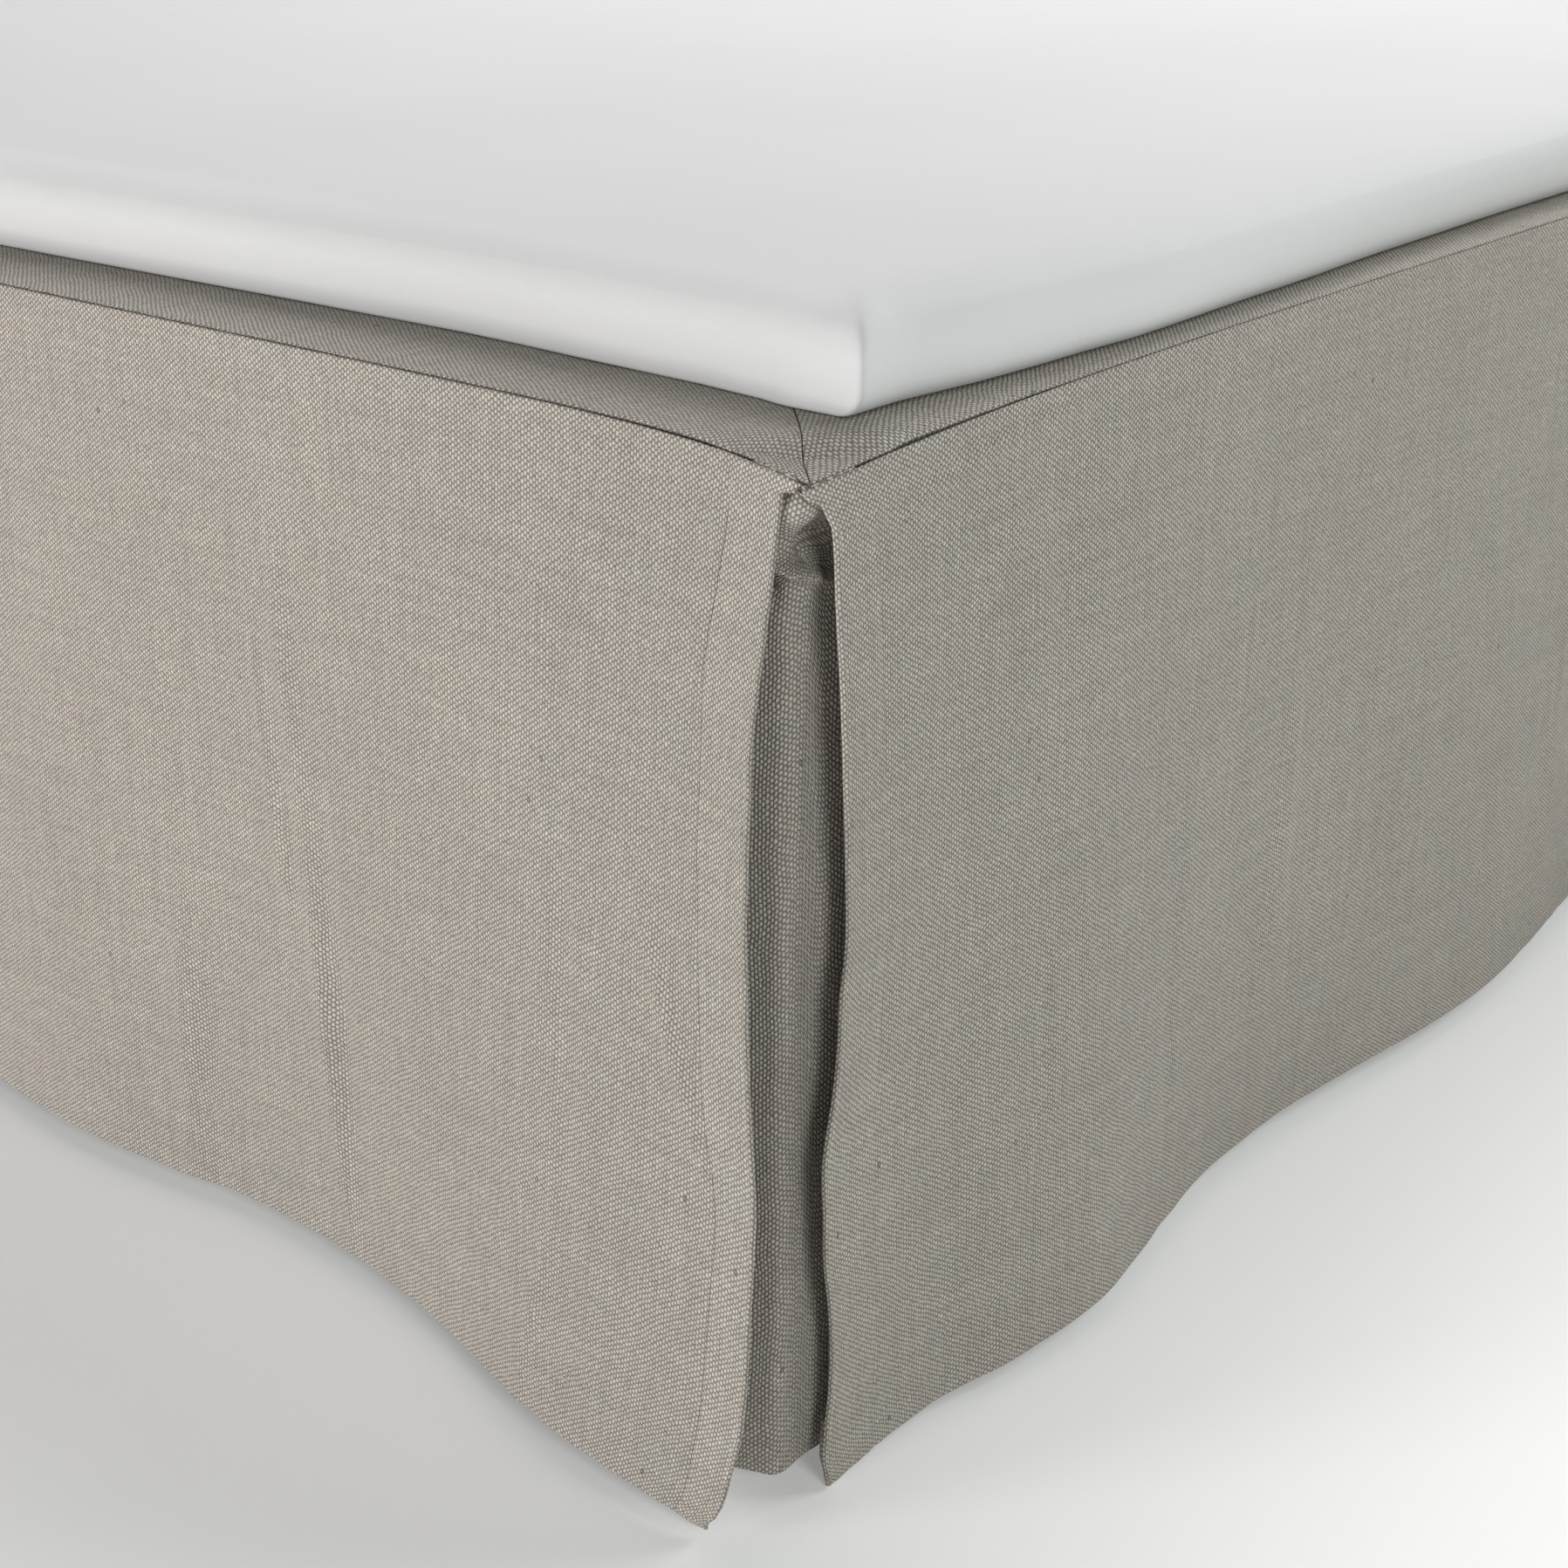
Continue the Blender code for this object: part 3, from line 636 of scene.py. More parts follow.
def hangFrom(panel, along, down, seamAt, outward, seed):
    # a point on the outer face of a drop panel
    fromSeam = max(down - cloth["seamLip"], 0.0)
    below = fromSeam / drop["length"]
    start = smoothThrough(panel["startEdge"], fromSeam)
    end = smoothThrough(panel["endEdge"], fromSeam)
    fade = drop["edgeFade"]
    place = along + start * math.exp(-along / fade) - end * math.exp(-(panel["length"] - along) / fade)
    place += bothArches(panel, along, down)
    swing = smoothThrough(panel["folds"], along) * below ** drop["foldGrowth"]
    seam = seamAt(place)
    pull = cornerPull(seam.x, seam.y) * (1 - min(below, 1.0))
    point = seam + pull + outward * (swing + panelRelief(panel, along, down, seed))
    straight = math.sqrt(down**2 - min(swing**2, down**2))
    point.z = deckTop + cloth["seamRise"] * (1 - below) - deckSag(seam.x, seam.y) - straight
    return point


def makePanel(name, panel, seamAt, outward, seed, reverse, step):
    length = panel["length"]
    radius, hemRadius = cloth["edgeTurn"], cloth["turn"]
    finished = drop["length"] + cloth["seamLip"]
    hem = [0.003, 0.0055, 0.009, 0.017, cloth["sideHem"] - radius]
    nearEdge = [0.0022, 0.0031, 0.0036, 0.0040, 0.0044, 0.0050, 0.0065, 0.009, 0.0125, 0.017, 0.022]
    fine = nearEdge + [0.0252, 0.0282, 0.0312, 0.0342, 0.0372, 0.0402, 0.0432]
    starts = [("start", "back", value) for value in reversed(hem)]
    starts += [("start", zone, value) for zone, value in reversed(turnStops())]
    ends = [("end", zone, value) for zone, value in turnStops()]
    ends += [("end", "back", value) for value in hem]
    face = fine + evenSteps(fine[-1] + step, length - fine[-1] - step, step)
    face += [length - value for value in reversed(fine)]
    columns = starts + [("face", "face", value) for value in face] + ends
    if reverse:
        columns = columns[::-1]

    lip = [("allowance", cloth["allowance"])]
    lip += [("lip", cloth["lipTurn"] * i / 5) for i in range(5, -1, -1)]
    underLip = [0.0031, 0.0038, 0.0050, 0.0068, 0.0092, 0.0125, 0.017, 0.023]
    hemRow = finished - cloth["bottomHem"]
    faceRows = underLip + evenSteps(underLip[-1] + 0.007, hemRow - 0.004, drop["rowStep"])
    faceRows += [hemRow - 0.0017, hemRow, hemRow + 0.0017]
    faceRows += evenSteps(hemRow + 0.006, finished - 0.009, drop["rowStep"])
    faceRows += [finished - 0.0055, finished - 0.0035]
    rows = lip + [("face", value) for value in faceRows] + turnStops()
    rows += [("back", value) for value in (0.006, 0.014, 0.024, cloth["bottomHem"] - 2 * hemRadius)]

    def place(column, row):
        end, zone, value = column
        edge, depth, flatAcross = turnedStop(zone, value, radius)
        if zone == "back":
            depth = backDepth(edge, radius)
        along = length - edge if end == "end" else edge
        flatAcross = length - flatAcross if end == "end" else flatAcross
        fromEdge = min(along, length - along)
        doubled = 1 - easeIn(fromEdge, cloth["sideHem"] - 0.002, cloth["sideHem"] + 0.002)
        zone, value = row
        if zone in ("turn", "back"):
            layers = backDepth(max(fromEdge, radius), radius) + cloth["between"] / 2
            wide = hemRadius + doubled * (layers - hemRadius) - depth
            fromHem, behind, flatDown = turnedStop(zone, value, max(wide, cloth["between"] / 2))
            down, inward, flatDown = finished - fromHem, depth + behind, finished - flatDown
            turned = (1 - math.cos(value)) / 2 if zone == "turn" else 1.0
            setBack = turned * drop["setBack"] * math.exp(-fromEdge / 0.020)
            along += setBack if along < length / 2 else -setBack
        elif zone == "face":
            down, inward, flatDown = value, depth, value
        else:
            turnedIn, down, flatDown = seamStop(zone, value)
            inward = depth + turnedIn
        point = hangFrom(panel, along, down, seamAt, outward, seed) - outward * inward
        return point + middle, (flatAcross + bothArches(panel, along, down), flatDown)

    def marks(column, row):
        # distance to the side hem's stitching, the strength of its painted shade there, and of the hem's
        # painted paleness
        end, zone, edge = column
        if zone != "face" or row[0] != "face":
            return 0.0, 0.0, 0.0
        down = row[1]
        strength = easeIn(down, 0.018, 0.028) * (0.7 + 0.3 * (1 - easeIn(down, 0.06, 0.10)))
        fromLine = min(edge, length - edge) - smoothThrough(panel["hemLine"], down)
        return fromLine, strength * panel["hemShows"], panel["hemShows"]

    piece = layCloth(name, columns, rows, place, marks=marks)
    width = length + 2 * cloth["sideHem"]
    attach(piece, "root")
    return piece, (width, finished + cloth["bottomHem"] + cloth["allowance"])


panelWork = [
    ("skirtFootPanel", footPanel, lambda at: Vector((halfWidth - at, -halfLength, 0.0)), Vector((0, -1, 0)),
     1.0, True, drop["step"], "skirt_foot"),
    ("skirtRightPanel", rightPanel, lambda at: Vector((halfWidth, at - halfLength, 0.0)), Vector((1, 0, 0)),
     21.0, False, drop["step"], "skirt_right"),
    ("skirtLeftPanel", leftPanel, lambda at: Vector((-halfWidth, at - halfLength, 0.0)), Vector((-1, 0, 0)),
     43.0, True, drop["step"] * 1.3, "skirt_left"),
]
for name, panel, seamAt, outward, seed, reverse, step, node in panelWork:
    piece, flatSize = makePanel(name, panel, seamAt, outward, seed, reverse, step)
    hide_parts(node)
print("drop panels hung")


# the band round the deck, mitred at the foot corners
band = {
    "wide": 0.140,
    "step": 0.0045,
    "mitreTurn": 0.0008,
    "mitreGap": 0.00015,
    "drift": 0.0026,
    "pucker": (0.00022, 85.0, 40.0),
    "slack": (0.00030, 22.0, 30.0),
}


def bandHeight(x, y, fromSeam):
    rise = cloth["seamRise"] * math.exp(-fromSeam / cloth["riseFade"])
    return deckTop - deckSag(x, y) + rise


def mitreDip(fromMitre):
    # the cloth rolls down into the mitre seam
    turn = band["mitreTurn"]
    short = max(turn - fromMitre, 0.0)
    return turn - math.sqrt(max(turn**2 - short**2, 0.0))


def mitreDrift(x, fromMitre, inward):
    # the mitre seam wanders towards the foot once it is past the corner
    shift = band["drift"] * easeIn(inward, 0.001, 0.016) * bump(fromMitre, 0.0, 0.045)
    return Vector((-math.copysign(shift, x), -shift, 0.0)) / math.sqrt(2)


def makeBand(name, length, spot, seed):
    nearMitre = [0.0, 0.0002, 0.0005, 0.0009, 0.0014, 0.0022, 0.0035, 0.006, 0.010]
    plain = nearMitre[-1] + band["step"]
    along = nearMitre + evenSteps(plain, length - plain, band["step"])
    along += [length - value for value in reversed(nearMitre)]
    inwards = [band["wide"], 0.100, 0.074, 0.058, 0.047, 0.038, 0.031, 0.025, 0.020, 0.016]
    inwards += [0.0125, 0.0095, 0.0072, 0.0053, 0.0038, 0.0029]
    rows = [("flat", value) for value in inwards]
    rows += [("lip", cloth["lipTurn"] * i / 6) for i in range(7)]
    rows += [("allowance", cloth["allowance"])]

    def place(at, row):
        zone, value = row
        if zone == "flat":
            inward, below, flatIn = value, 0.0, value
        else:
            below, inward, flatIn = seamStop(zone, value)
        x, y, fromMitre, run = spot(at, inward)
        z = bandHeight(x, y, inward) - below - mitreDip(max(fromMitre, 0.0))
        z += uneven(band["pucker"], run, inward, seed) * math.exp(-inward / 0.010)
        z += uneven(band["slack"], run, inward, seed + 5.0)
        point = Vector((x, y, z)) + cornerPull(x, y) + mitreDrift(x, fromMitre, inward)
        return point + middle, (run, flatIn)

    piece = layCloth(name, along, rows, place)
    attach(piece, "root")
    return piece


def footSpot(at, inward):
    reach = halfWidth - inward - band["mitreGap"]
    x = -reach + 2 * reach * at / (2 * halfWidth)
    return x, -halfLength + inward, (reach - abs(x)) / math.sqrt(2), x


def rightSpot(at, inward):
    start = -halfLength + inward + band["mitreGap"]
    y = start + (halfLength - start) * at / (2 * halfLength)
    return halfWidth - inward, y, (y - start) / math.sqrt(2), y


def leftSpot(at, inward):
    x, y, fromMitre, run = rightSpot(2 * halfLength - at, inward)
    return -x, y, fromMitre, run


for name, length, spot, seed, node in (
    ("deckBandFoot", 2 * halfWidth, footSpot, 61.0, "deck_band_foot"),
    ("deckBandRight", 2 * halfLength, rightSpot, 71.0, "deck_band_right"),
    ("deckBandLeft", 2 * halfLength, leftSpot, 83.0, "deck_band_left"),
):
    piece = makeBand(name, length, spot, seed)
    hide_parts(node)
print("deck bands laid")


# corner inserts: a strip behind each split, turned round the corner in two soft bends
insert = {
    "length": 0.492,
    "leg": 0.148,
    "hem": 0.024,
    "clear": 0.0006,         # under the lip of the seam
    "takenUp": 0.006,        # the crumple at the top lifts the strip this much on its side leg
    "flareAt": (0.024, 0.016),   # where along the strip the side leg turns back, and how wide
    "fineReach": 0.040,      # the strip has finer steps this near the corner
    "fineTop": 0.100,        # and this near the top
    "slack": (0.0006, 40.0, 9.0),
    "ripple": (0.0003, 120.0, 60.0),
    "right": {
        # down: reach of the foot leg and of the side leg, outwards from the seam line
        "footReach": [(0.0, -0.0045), (0.080, -0.0045), (0.250, -0.0010), (0.380, 0.0060), (0.486, 0.0130)],
        "sideReach": [(0.0, -0.0045), (0.030, -0.0130), (0.080, -0.0165), (0.250, -0.0170), (0.486, -0.0160)],
        # down: place, length and angle of the bend in front, along the strip
        "frontAt": [(0.0, -0.010), (0.030, -0.024), (0.080, -0.042), (0.250, -0.046), (0.486, -0.034)],
        "frontWide": [(0.0, 0.010), (0.080, 0.022), (0.486, 0.018)],
        "frontTurn": [(0.0, 0.20), (0.030, 0.26), (0.250, 0.18), (0.486, 0.34)],
        # down: place of the bend at the side, how far its leg turns back, and its length
        "sideAt": [(0.0, 0.001), (0.250, -0.001), (0.486, -0.004)],
        "sideFlare": [(0.0, 0.0), (0.030, 0.10), (0.080, 0.24), (0.300, 0.26), (0.486, 0.20)],
        "sideWide": [(0.0, 0.017), (0.080, 0.017), (0.250, 0.015), (0.486, 0.013)],
        # forms of the crumple, the foot leg's along being negative
        "crumples": [
            (-0.006, 0.017, 0.009, 0.010, 0.0, 0.0055),
            (0.008, 0.029, 0.009, 0.010, 0.0, -0.0140),
            (-0.006, 0.039, 0.012, 0.0062, 1.4, 0.0130),
            (-0.021, 0.047, 0.009, 0.0075, 1.0, -0.0095),
            (0.010, 0.200, 0.080, 0.012, 0.0, -0.0012),
            (-0.022, 0.200, 0.080, 0.010, 0.0, 0.0008),
            (-0.020, 0.400, 0.060, 0.012, 0.0, -0.0010),
        ],
    },
    "left": {
        "footReach": [(0.0, -0.0045), (0.100, -0.0040), (0.300, -0.0010), (0.486, 0.0070)],
        "sideReach": [(0.0, -0.0045), (0.040, -0.0095), (0.120, -0.0125), (0.486, -0.0110)],
        "frontAt": [(0.0, -0.010), (0.040, -0.022), (0.120, -0.038), (0.486, -0.030)],
        "frontWide": [(0.0, 0.010), (0.100, 0.020), (0.486, 0.020)],
        "frontTurn": [(0.0, 0.20), (0.040, 0.28), (0.486, 0.45)],
        "sideAt": [(0.0, 0.001), (0.486, -0.002)],
        "sideFlare": [(0.0, 0.0), (0.080, 0.16), (0.300, 0.18), (0.486, 0.10)],
        "sideWide": [(0.0, 0.017), (0.120, 0.022), (0.486, 0.018)],
        "crumples": [
            (-0.002, 0.018, 0.009, 0.012, 0.0, 0.0022),
            (0.009, 0.040, 0.016, 0.011, 0.3, -0.0060),
            (-0.008, 0.056, 0.014, 0.008, -1.1, 0.0050),
            (-0.020, 0.084, 0.016, 0.010, 0.6, -0.0040),
            (0.012, 0.300, 0.080, 0.014, 0.0, -0.0012),
        ],
    },
}


def insertPlan(size, down, stops):
    # one row of the strip seen from above: place and way out at each stop
    at = {name: smoothThrough(points, down) for name, points in size.items() if name != "crumples"}

    def bend(along, centre, wide):
        return easeIn(along, centre - wide / 2, centre + wide / 2)

    def facing(along):
        turned = at["frontTurn"] * bend(along, at["frontAt"], at["frontWide"])
        turned += (math.pi / 2 - at["frontTurn"]) * bend(along, at["sideAt"], at["sideWide"])
        return turned - at["sideFlare"] * bump(along, *insert["flareAt"])

    x = y = 0.0
    path, last = [], stops[0]
    for along in stops:
        angle = facing((along + last) / 2)
        x += (along - last) * math.cos(angle)
        y += (along - last) * math.sin(angle)
        path.append((x, y, facing(along)))
        last = along
    shiftX = halfWidth + at["sideReach"] - x
    shiftY = -halfLength - at["footReach"]
    return [(px + shiftX, py + shiftY, math.sin(angle), -math.cos(angle)) for px, py, angle in path]


def makeInsert(side, mirror, seed):
    size = insert[side]
    radius = cloth["turn"]
    fine, plain = insert["fineReach"], insert["fineReach"] + 0.0032
    columns = evenSteps(-insert["leg"], -plain, 0.0035) + evenSteps(-fine, fine, 0.0016)
    columns += evenSteps(plain, insert["leg"], 0.0035)
    rows = [("face", value) for value in evenSteps(0.0, insert["fineTop"] - 0.002, 0.0020)]
    lowerRows = evenSteps(insert["fineTop"] + 0.002, insert["length"] - 0.004, 0.0042)
    rows += [("face", value) for value in lowerRows]
    rows += turnStops() + [("back", value) for value in (0.006, 0.014, insert["hem"])]
    plans = {}

    def planAt(down, at):
        if down not in plans:
            plans[down] = dict(zip([round(stop, 6) for stop in columns], insertPlan(size, down, columns)))
        return plans[down][round(at, 6)]

    def place(along, row):
        zone, value = row
        if zone == "face":
            down, depth, flatDown = value, 0.0, value
        else:
            fromHem, depth, flatDown = turnedStop(zone, value, radius)
            down, flatDown = insert["length"] - fromHem, insert["length"] - flatDown
        at = along * mirror
        x, y, outX, outY = planAt(down, at)
        relief = raisedBy(size["crumples"], at, down)
        relief += uneven(insert["slack"], at, down, seed) * easeIn(down, 0.01, 0.08)
        relief += uneven(insert["ripple"], at, down, seed + 4.0) * easeIn(down, 0.004, 0.02)
        seam = planAt(0.0, at)
        top = deckTop - deckSag(mirror * seam[0], seam[1]) - cloth["seamLip"] - insert["clear"]
        pull = cornerPull(mirror * seam[0], seam[1]) * (1 - down / insert["length"])
        out = Vector((mirror * outX, outY, 0.0))
        lift = insert["takenUp"] * easeIn(at, -0.035, 0.020) * (1 - easeIn(at, 0.03, 0.10))
        lift *= easeIn(down, 0.02, 0.07)
        point = Vector((mirror * x, y, top - down + lift)) + out * (relief - depth) + pull
        return point + middle, (along, flatDown)

    piece = layCloth("cornerInsert" + side.capitalize(), columns, rows, place, measured=True)
    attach(piece, "root")
    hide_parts("corner_insert_" + side)


makeInsert("right", 1, 91.0)
makeInsert("left", -1, 97.0)
print("corner inserts set")


# topper: a foam slab in a plain white cover
topper = {
    "sides": {
        "right": [(0.03, 0.0235), (0.07, 0.0196), (0.11, 0.0163), (0.16, 0.0154), (0.22, 0.0125),
                  (0.31, 0.0162), (0.40, 0.0194), (0.50, 0.0242), (0.75, 0.029), (1.10, 0.024),
                  (2.00, 0.020)],
        "left": [(0.05, 0.026), (0.40, 0.034), (0.90, 0.022), (1.45, 0.029), (2.00, 0.022)],
        "foot": [(0.03, 0.055), (0.055, 0.0592), (0.08, 0.0618), (0.14, 0.0645), (0.26, 0.0695),
                 (0.47, 0.0665), (0.70, 0.062), (1.10, 0.056), (1.60, 0.050)],
        "head": [(0.00, 0.018), (0.50, 0.026), (1.10, 0.020), (1.60, 0.024)],
    },
    "corner": 0.0035,
    "bottomEdge": 0.003,
    "roundIn": 0.038,        # the top edge is rounded this far in and this far down
    "roundDown": 0.021,
    "roundUnder": 0.013,     # the long sides roll under this far
    "crown": 0.002,
    "belly": 0.0010,
    "slack": (0.0006, 7.0, 7.0),
    "waver": (0.0005, 16.0, 16.0),
    "softenCorners": (0.060, 0.014, 5),   # reach in from a corner, reach down, times smoothed
    # where the mesh has its edges: in from the sides, up the sides, and between
    "nearEdge": (0.0, 0.0012, 0.0032, 0.006, 0.0095, 0.0135, 0.018, 0.0235, 0.030, 0.038, 0.047),
    "upSides": (0.09, 0.125, 0.17, 0.22, 0.29, 0.40, 0.58, 0.76, 0.90),
    "step": 0.040,
    "order": (1.0, 10.0, 100.0),   # points and faces are sorted along this direction
    "lightCover": (0.715, 0.717, 0.716, 1.0),
    "darkCover": (0.690, 0.692, 0.690, 1.0),
}


def makeTopperCover():
    material, tree, shader = newFinish("topperCover", 0.95, 0.2, 0.25)
    shader.inputs["Sheen Roughness"].default_value = 0.6
    place = put(tree, "ShaderNodeTexCoord").outputs["Object"]
    cloud = grain(tree, place, 3.0, 3.0, 0.5)
    knit = grain(tree, place, 900.0, 2.0, 0.6)
    ripple = grain(tree, place, 60.0, 2.0, 0.5)
    colour = between(tree, cloud, 0.3, 0.7, topper["darkCover"], topper["lightCover"])
    height = calc(tree, "MULTIPLY_ADD", ripple, 0.6, times(tree, knit, 0.25))
    coverWith(tree, shader, colour, height, 0.0008, 0.35)
    return material


def makeTopper():
    low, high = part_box("topper")
    bottom, top = low.z, high.z
    wallTop = top - topper["roundDown"]
    slab = bmesh.new()
    bmesh.ops.create_cube(slab, size=1.0)
    bmesh.ops.scale(slab, vec=(2 * halfWidth, 2 * halfLength, top - bottom), verts=slab.verts)
    bmesh.ops.translate(slab, vec=(0, 0, (top + bottom) / 2), verts=slab.verts)
    rounding = dict(segments=3, profile=0.5, affect="EDGES", material=-1)
    upright = [edge for edge in slab.edges if abs(edge.verts[0].co.z - edge.verts[1].co.z) > 0.01]
    bmesh.ops.bevel(slab, geom=upright, offset=topper["corner"], **rounding)
    lowEdges = [edge for edge in slab.edges if max(vertex.co.z for vertex in edge.verts) < bottom + 1e-6]
    bmesh.ops.bevel(slab, geom=lowEdges, offset=topper["bottomEdge"], **rounding)

    def cut(place, direction):
        everything = slab.verts[:] + slab.edges[:] + slab.faces[:]
        bmesh.ops.bisect_plane(slab, geom=everything, dist=1e-6, plane_co=place, plane_no=direction)

    for axis, half in ((Vector((1, 0, 0)), halfWidth), (Vector((0, 1, 0)), halfLength)):
        border = [half - topper["corner"] - step for step in topper["nearEdge"]]
        for at in evenSteps(-border[-1], border[-1], topper["step"]):
            cut(axis * at, axis)
        for at in border[:-1]:
            cut(axis * at, axis)
            cut(axis * -at, axis)
    for share in topper["upSides"]:
        cut((0, 0, bottom + (top - bottom) * share), (0, 0, 1))

    def fromOutline(x, y):
        # distance to the outline, whose corners are rounded
        beyondX = abs(x) - (halfWidth - topper["corner"])
        beyondY = abs(y) - (halfLength - topper["corner"])
        outside = math.hypot(max(beyondX, 0.0), max(beyondY, 0.0)) + min(max(beyondX, beyondY), 0.0)
        return max(topper["corner"] - outside, 0.0)

    for vertex in slab.verts:
        if vertex.co.z > top - 1e-6:
            short = 1 - min(fromOutline(vertex.co.x, vertex.co.y) / topper["roundIn"], 1.0)
            vertex.co.z = wallTop + topper["roundDown"] * math.sqrt(1 - short**2)
        else:
            vertex.co.z = bottom + (vertex.co.z - bottom) * (wallTop - bottom) / (top - bottom)
    reach, reachDown, rounds = topper["softenCorners"]
    nearCorner = Vector((halfWidth - reach, halfLength - reach, wallTop - reachDown))
    corners = [
        vertex for vertex in slab.verts
        if abs(vertex.co.x) > nearCorner.x and abs(vertex.co.y) > nearCorner.y and vertex.co.z > nearCorner.z
    ]
    allWays = dict(use_axis_x=True, use_axis_y=True, use_axis_z=True)
    for _ in range(rounds):
        bmesh.ops.smooth_vert(slab, verts=corners, factor=0.5, **allWays)
    sides = topper["sides"]
    for vertex in slab.verts:
        across = vertex.co.x / (2 * halfWidth) + 0.5
        along = vertex.co.y / (2 * halfLength) + 0.5
        raised = (vertex.co.z - bottom) / (top - bottom)
        left = -halfWidth + smoothThrough(sides["left"], along * 2 * halfLength)
        right = halfWidth - smoothThrough(sides["right"], along * 2 * halfLength)
        foot = -halfLength + smoothThrough(sides["foot"], (1 - across) * 2 * halfWidth)
        head = halfLength - smoothThrough(sides["head"], across * 2 * halfWidth)
        # the side walls belly out a little, and the long ones roll under at the bottom
        short = max(topper["roundUnder"] - (vertex.co.z - bottom), 0.0)
        tuck = topper["roundUnder"] - math.sqrt(topper["roundUnder"] ** 2 - short**2)
        belly = topper["belly"] * math.sin(math.pi * raised)
        left, right = left + tuck - belly, right - tuck + belly
        foot, head = foot - belly, head + belly - 0.5 * tuck
        x = left + (right - left) * across
        y = foot + (head - foot) * along
        inside = min(across, 1 - across, along, 1 - along)
        lift = raised * (topper["crown"] * easeIn(inside, 0.0, 0.25) + uneven(topper["slack"], x, y, 5.0))
        wave = uneven(topper["waver"], x, y, vertex.co.z * 30.0)
        vertex.co = (x + wave, y + wave, vertex.co.z + lift)
    bmesh.ops.triangulate(slab, faces=[face for face in slab.faces if len(face.verts) > 4])
    for vertex in slab.verts:
        vertex.co += middle
    # the cuts leave points and faces in an order that changes from run to run
    order = Vector(topper["order"])
    slab.verts.sort(key=lambda vertex: vertex.co.dot(order))
    slab.faces.sort(key=lambda face: face.calc_center_median().dot(order))
    piece = addPiece("foamTopper", slab, makeTopperCover())
    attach(piece, "root")
    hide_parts("topper")


makeTopper()
print("topper laid")


# deck panel under the topper
deck = {
    "thick": 0.0012,
    "under": 0.0003,         # below the top of the space it has
    "slack": (0.0002, 9.0, 9.0),
    "step": 0.030,
    "thread": 0.0011,
    "lightThread": (0.58, 0.56, 0.52, 1.0),
    "darkThread": (0.50, 0.48, 0.44, 1.0),
    "gap": (0.38, 0.36, 0.33, 1.0),
}


def makeDeckCotton():
    material, tree, shader = newFinish("deckCotton", 0.9, 0.25)
    flat = put(tree, "ShaderNodeTexCoord").outputs["UV"]
    across, down = parted(tree, flat)[0:2]
    weave = times(tree, waves(tree, across, deck["thread"]), waves(tree, down, deck["thread"]))
    threads = between(tree, grain(tree, flat, 30.0, 3.0), 0.3, 0.7, deck["darkThread"], deck["lightThread"])
    colour = between(tree, weave, -1.0, 1.0, deck["gap"], threads)
    coverWith(tree, shader, colour, weave, 0.0002, 0.6)
    return material


def makeDeck():
    low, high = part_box("deck_panel")
    across = evenSteps(low.x, high.x, deck["step"])
    along = evenSteps(low.y, high.y, deck["step"])

    def place(x, y):
        edge = min(x - low.x, high.x - x, y - low.y, high.y - y)
        slack = uneven(deck["slack"], x, y, 2.0) * easeIn(edge, 0.0, 0.05)
        return Vector((x, y, high.z - deck["under"] - abs(slack))), (x, y)

    piece = layCloth("deckPanel", across, along[::-1], place, deck["thick"], makeDeckCotton())
    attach(piece, "root")
    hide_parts("deck_panel")


makeDeck()
print("deck panel laid")


# bed base in its upholstery cloth
upholstery = {
    "thread": 0.0018,
    "light": (0.54, 0.53, 0.50, 1.0),
    "dark": (0.46, 0.45, 0.43, 1.0),
    "fleck": (0.30, 0.29, 0.28, 1.0),
    "gap": (0.24, 0.23, 0.22, 1.0),
}


def makeBaseCloth():
    material, tree, shader = newFinish("baseUpholstery", 0.92, 0.25, 0.1)
    place = put(tree, "ShaderNodeTexCoord").outputs["Object"]
    x, y, z = parted(tree, place)
    thread = upholstery["thread"]
    weave = times(tree, waves(tree, z, thread), waves(tree, plus(tree, x, y), thread))
    cloud = between(tree, grain(tree, place, 6.0, 3.0), 0.3, 0.7, upholstery["dark"], upholstery["light"])
    flecked = between(tree, grain(tree, place, 500.0, 2.0, 0.7), 0.4, 0.62, cloud, upholstery["fleck"])
    colour = between(tree, weave, -1.0, 0.4, upholstery["gap"], flecked)
    coverWith(tree, shader, colour, weave, 0.0003, 0.8)
    return material


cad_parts["bed_base"].data.materials.clear()
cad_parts["bed_base"].data.materials.append(makeBaseCloth())
print("base covered")


# legs
wood = {
    "light": (0.36, 0.23, 0.13, 1.0),
    "dark": (0.20, 0.115, 0.060, 1.0),
    "pore": (0.12, 0.070, 0.040, 1.0),
    "rings": (60.0, 60.0, 5.0),
    "pores": (700.0, 700.0, 40.0),
}


def makeLegWood():
    material, tree, shader = newFinish("legBeech", 0.42, 0.45)
    place = put(tree, "ShaderNodeTexCoord").outputs["Object"]

    def stretched(scales):
        return put(tree, "ShaderNodeMapping", ((0, place), (3, scales))).outputs[0]

    rings = grain(tree, stretched(wood["rings"]), 1.6, 4.0, 0.6)
    pores = grain(tree, stretched(wood["pores"]), 1.0, 2.0)
    colour = between(tree, rings, 0.35, 0.65, wood["dark"], wood["light"])
    colour = mixed(tree, spread(tree, pores, 0.55, 0.75, 0.0, 0.6), colour, wood["pore"])
    tree.links.new(spread(tree, pores, 0.3, 0.8, 0.36, 0.55), shader.inputs["Roughness"])
    coverWith(tree, shader, colour, rings, 0.0002, 0.4)
    return material


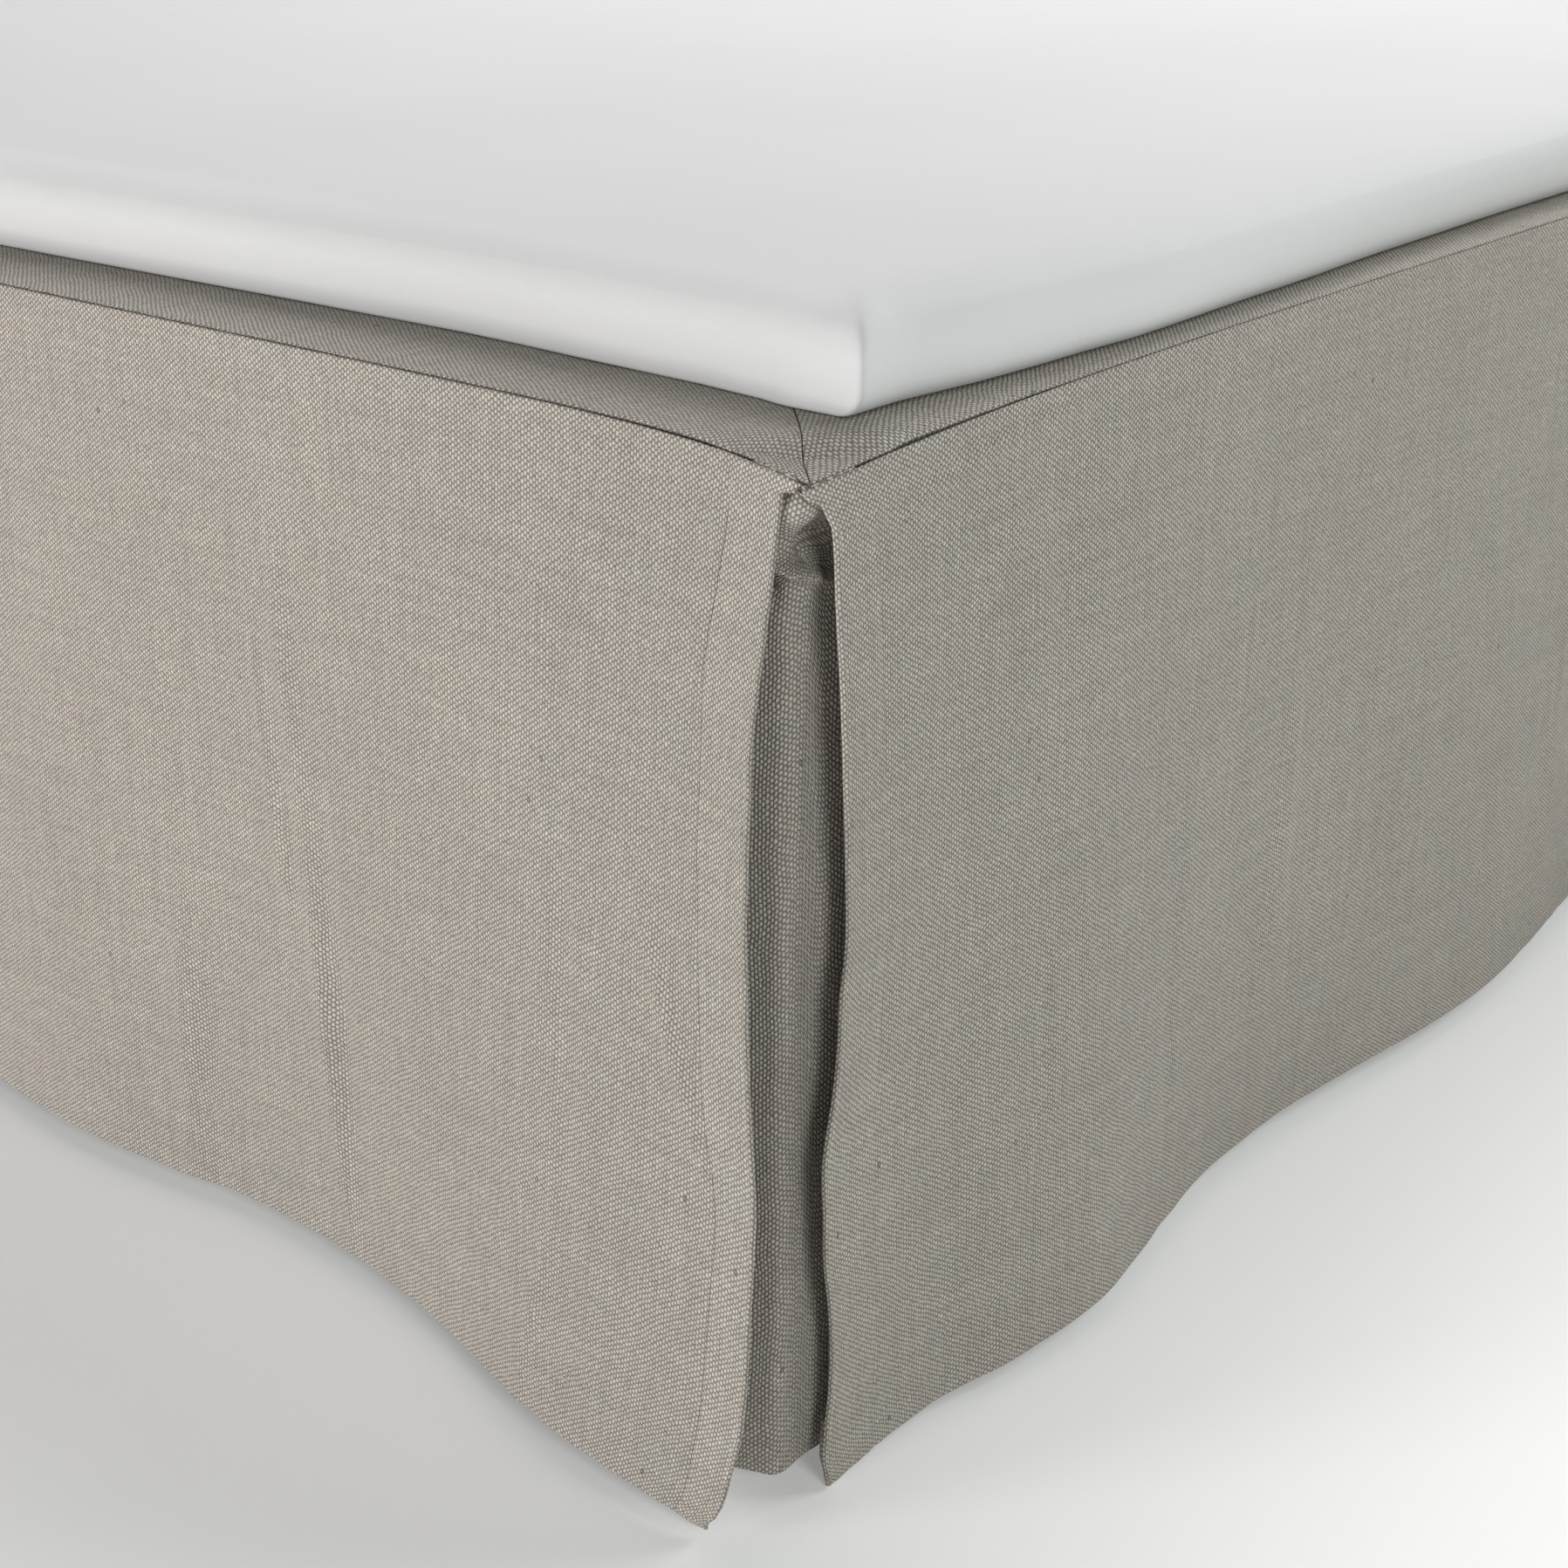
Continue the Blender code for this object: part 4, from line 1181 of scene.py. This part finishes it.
legWood = makeLegWood()
for name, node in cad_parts.items():
    if name.startswith("leg_"):
        node.data.materials.clear()
        node.data.materials.append(legWood)
print("legs finished")


# floor and light
room = {
    "floorColour": (0.90, 0.90, 0.895, 1.0),
    "worldLight": 0.03,
    "floorGlow": 0.20,
    "floorReach": 20.0,
    "aim": (0.8, -1.0, 0.45),
    "warm": (1.0, 0.985, 0.985),
    "cool": (0.955, 1.0, 0.985),
    "lights": [
        # name, place, size, watts, colour
        ("frontLight", (-1.00, -4.00, 0.45), 1.0, 98.0, "warm"),
        ("sideLight", (3.20, -2.10, 1.45), 0.9, 32.0, "cool"),
        ("overBedLight", (-0.10, 0.70, 2.85), 1.6, 44.0, "warm"),
        ("farLight", (0.30, 2.80, 2.55), 1.6, 42.0, "warm"),
        ("backRightLight", (2.60, 1.50, 2.50), 1.6, 41.0, "cool"),
        ("backLeftLight", (-1.80, 0.60, 2.35), 1.6, 18.0, "warm"),
    ],
}
floor = bmesh.new()
bmesh.ops.create_grid(floor, x_segments=1, y_segments=1, size=room["floorReach"])
floorMaterial, _, floorShader = newFinish("paleFloor", 0.9, 0.1)
floorShader.inputs["Base Color"].default_value = room["floorColour"]
floorShader.inputs["Emission Color"].default_value = (1.0, 1.0, 1.0, 1.0)
floorShader.inputs["Emission Strength"].default_value = room["floorGlow"]
floorPiece = addPiece("floor", floor, floorMaterial)

world = bpy.data.worlds.new("studio")
scene.world = world
world.use_nodes = True
background = world.node_tree.nodes["Background"]
background.inputs["Color"].default_value = (1.0, 1.0, 1.0, 1.0)
background.inputs["Strength"].default_value = room["worldLight"]
for name, place, size, watts, colour in room["lights"]:
    lamp = bpy.data.lights.new(name, "AREA")
    lamp.shape = "SQUARE"
    lamp.size = size
    lamp.energy = watts
    lamp.color = room[colour]
    holder = bpy.data.objects.new(name, lamp)
    holder.location = place
    holder.rotation_euler = (Vector(room["aim"]) - Vector(place)).to_track_quat("-Z", "Y").to_euler()
    scene.collection.objects.link(holder)
scene.view_settings.view_transform = "Standard"
print("floor and lights set")
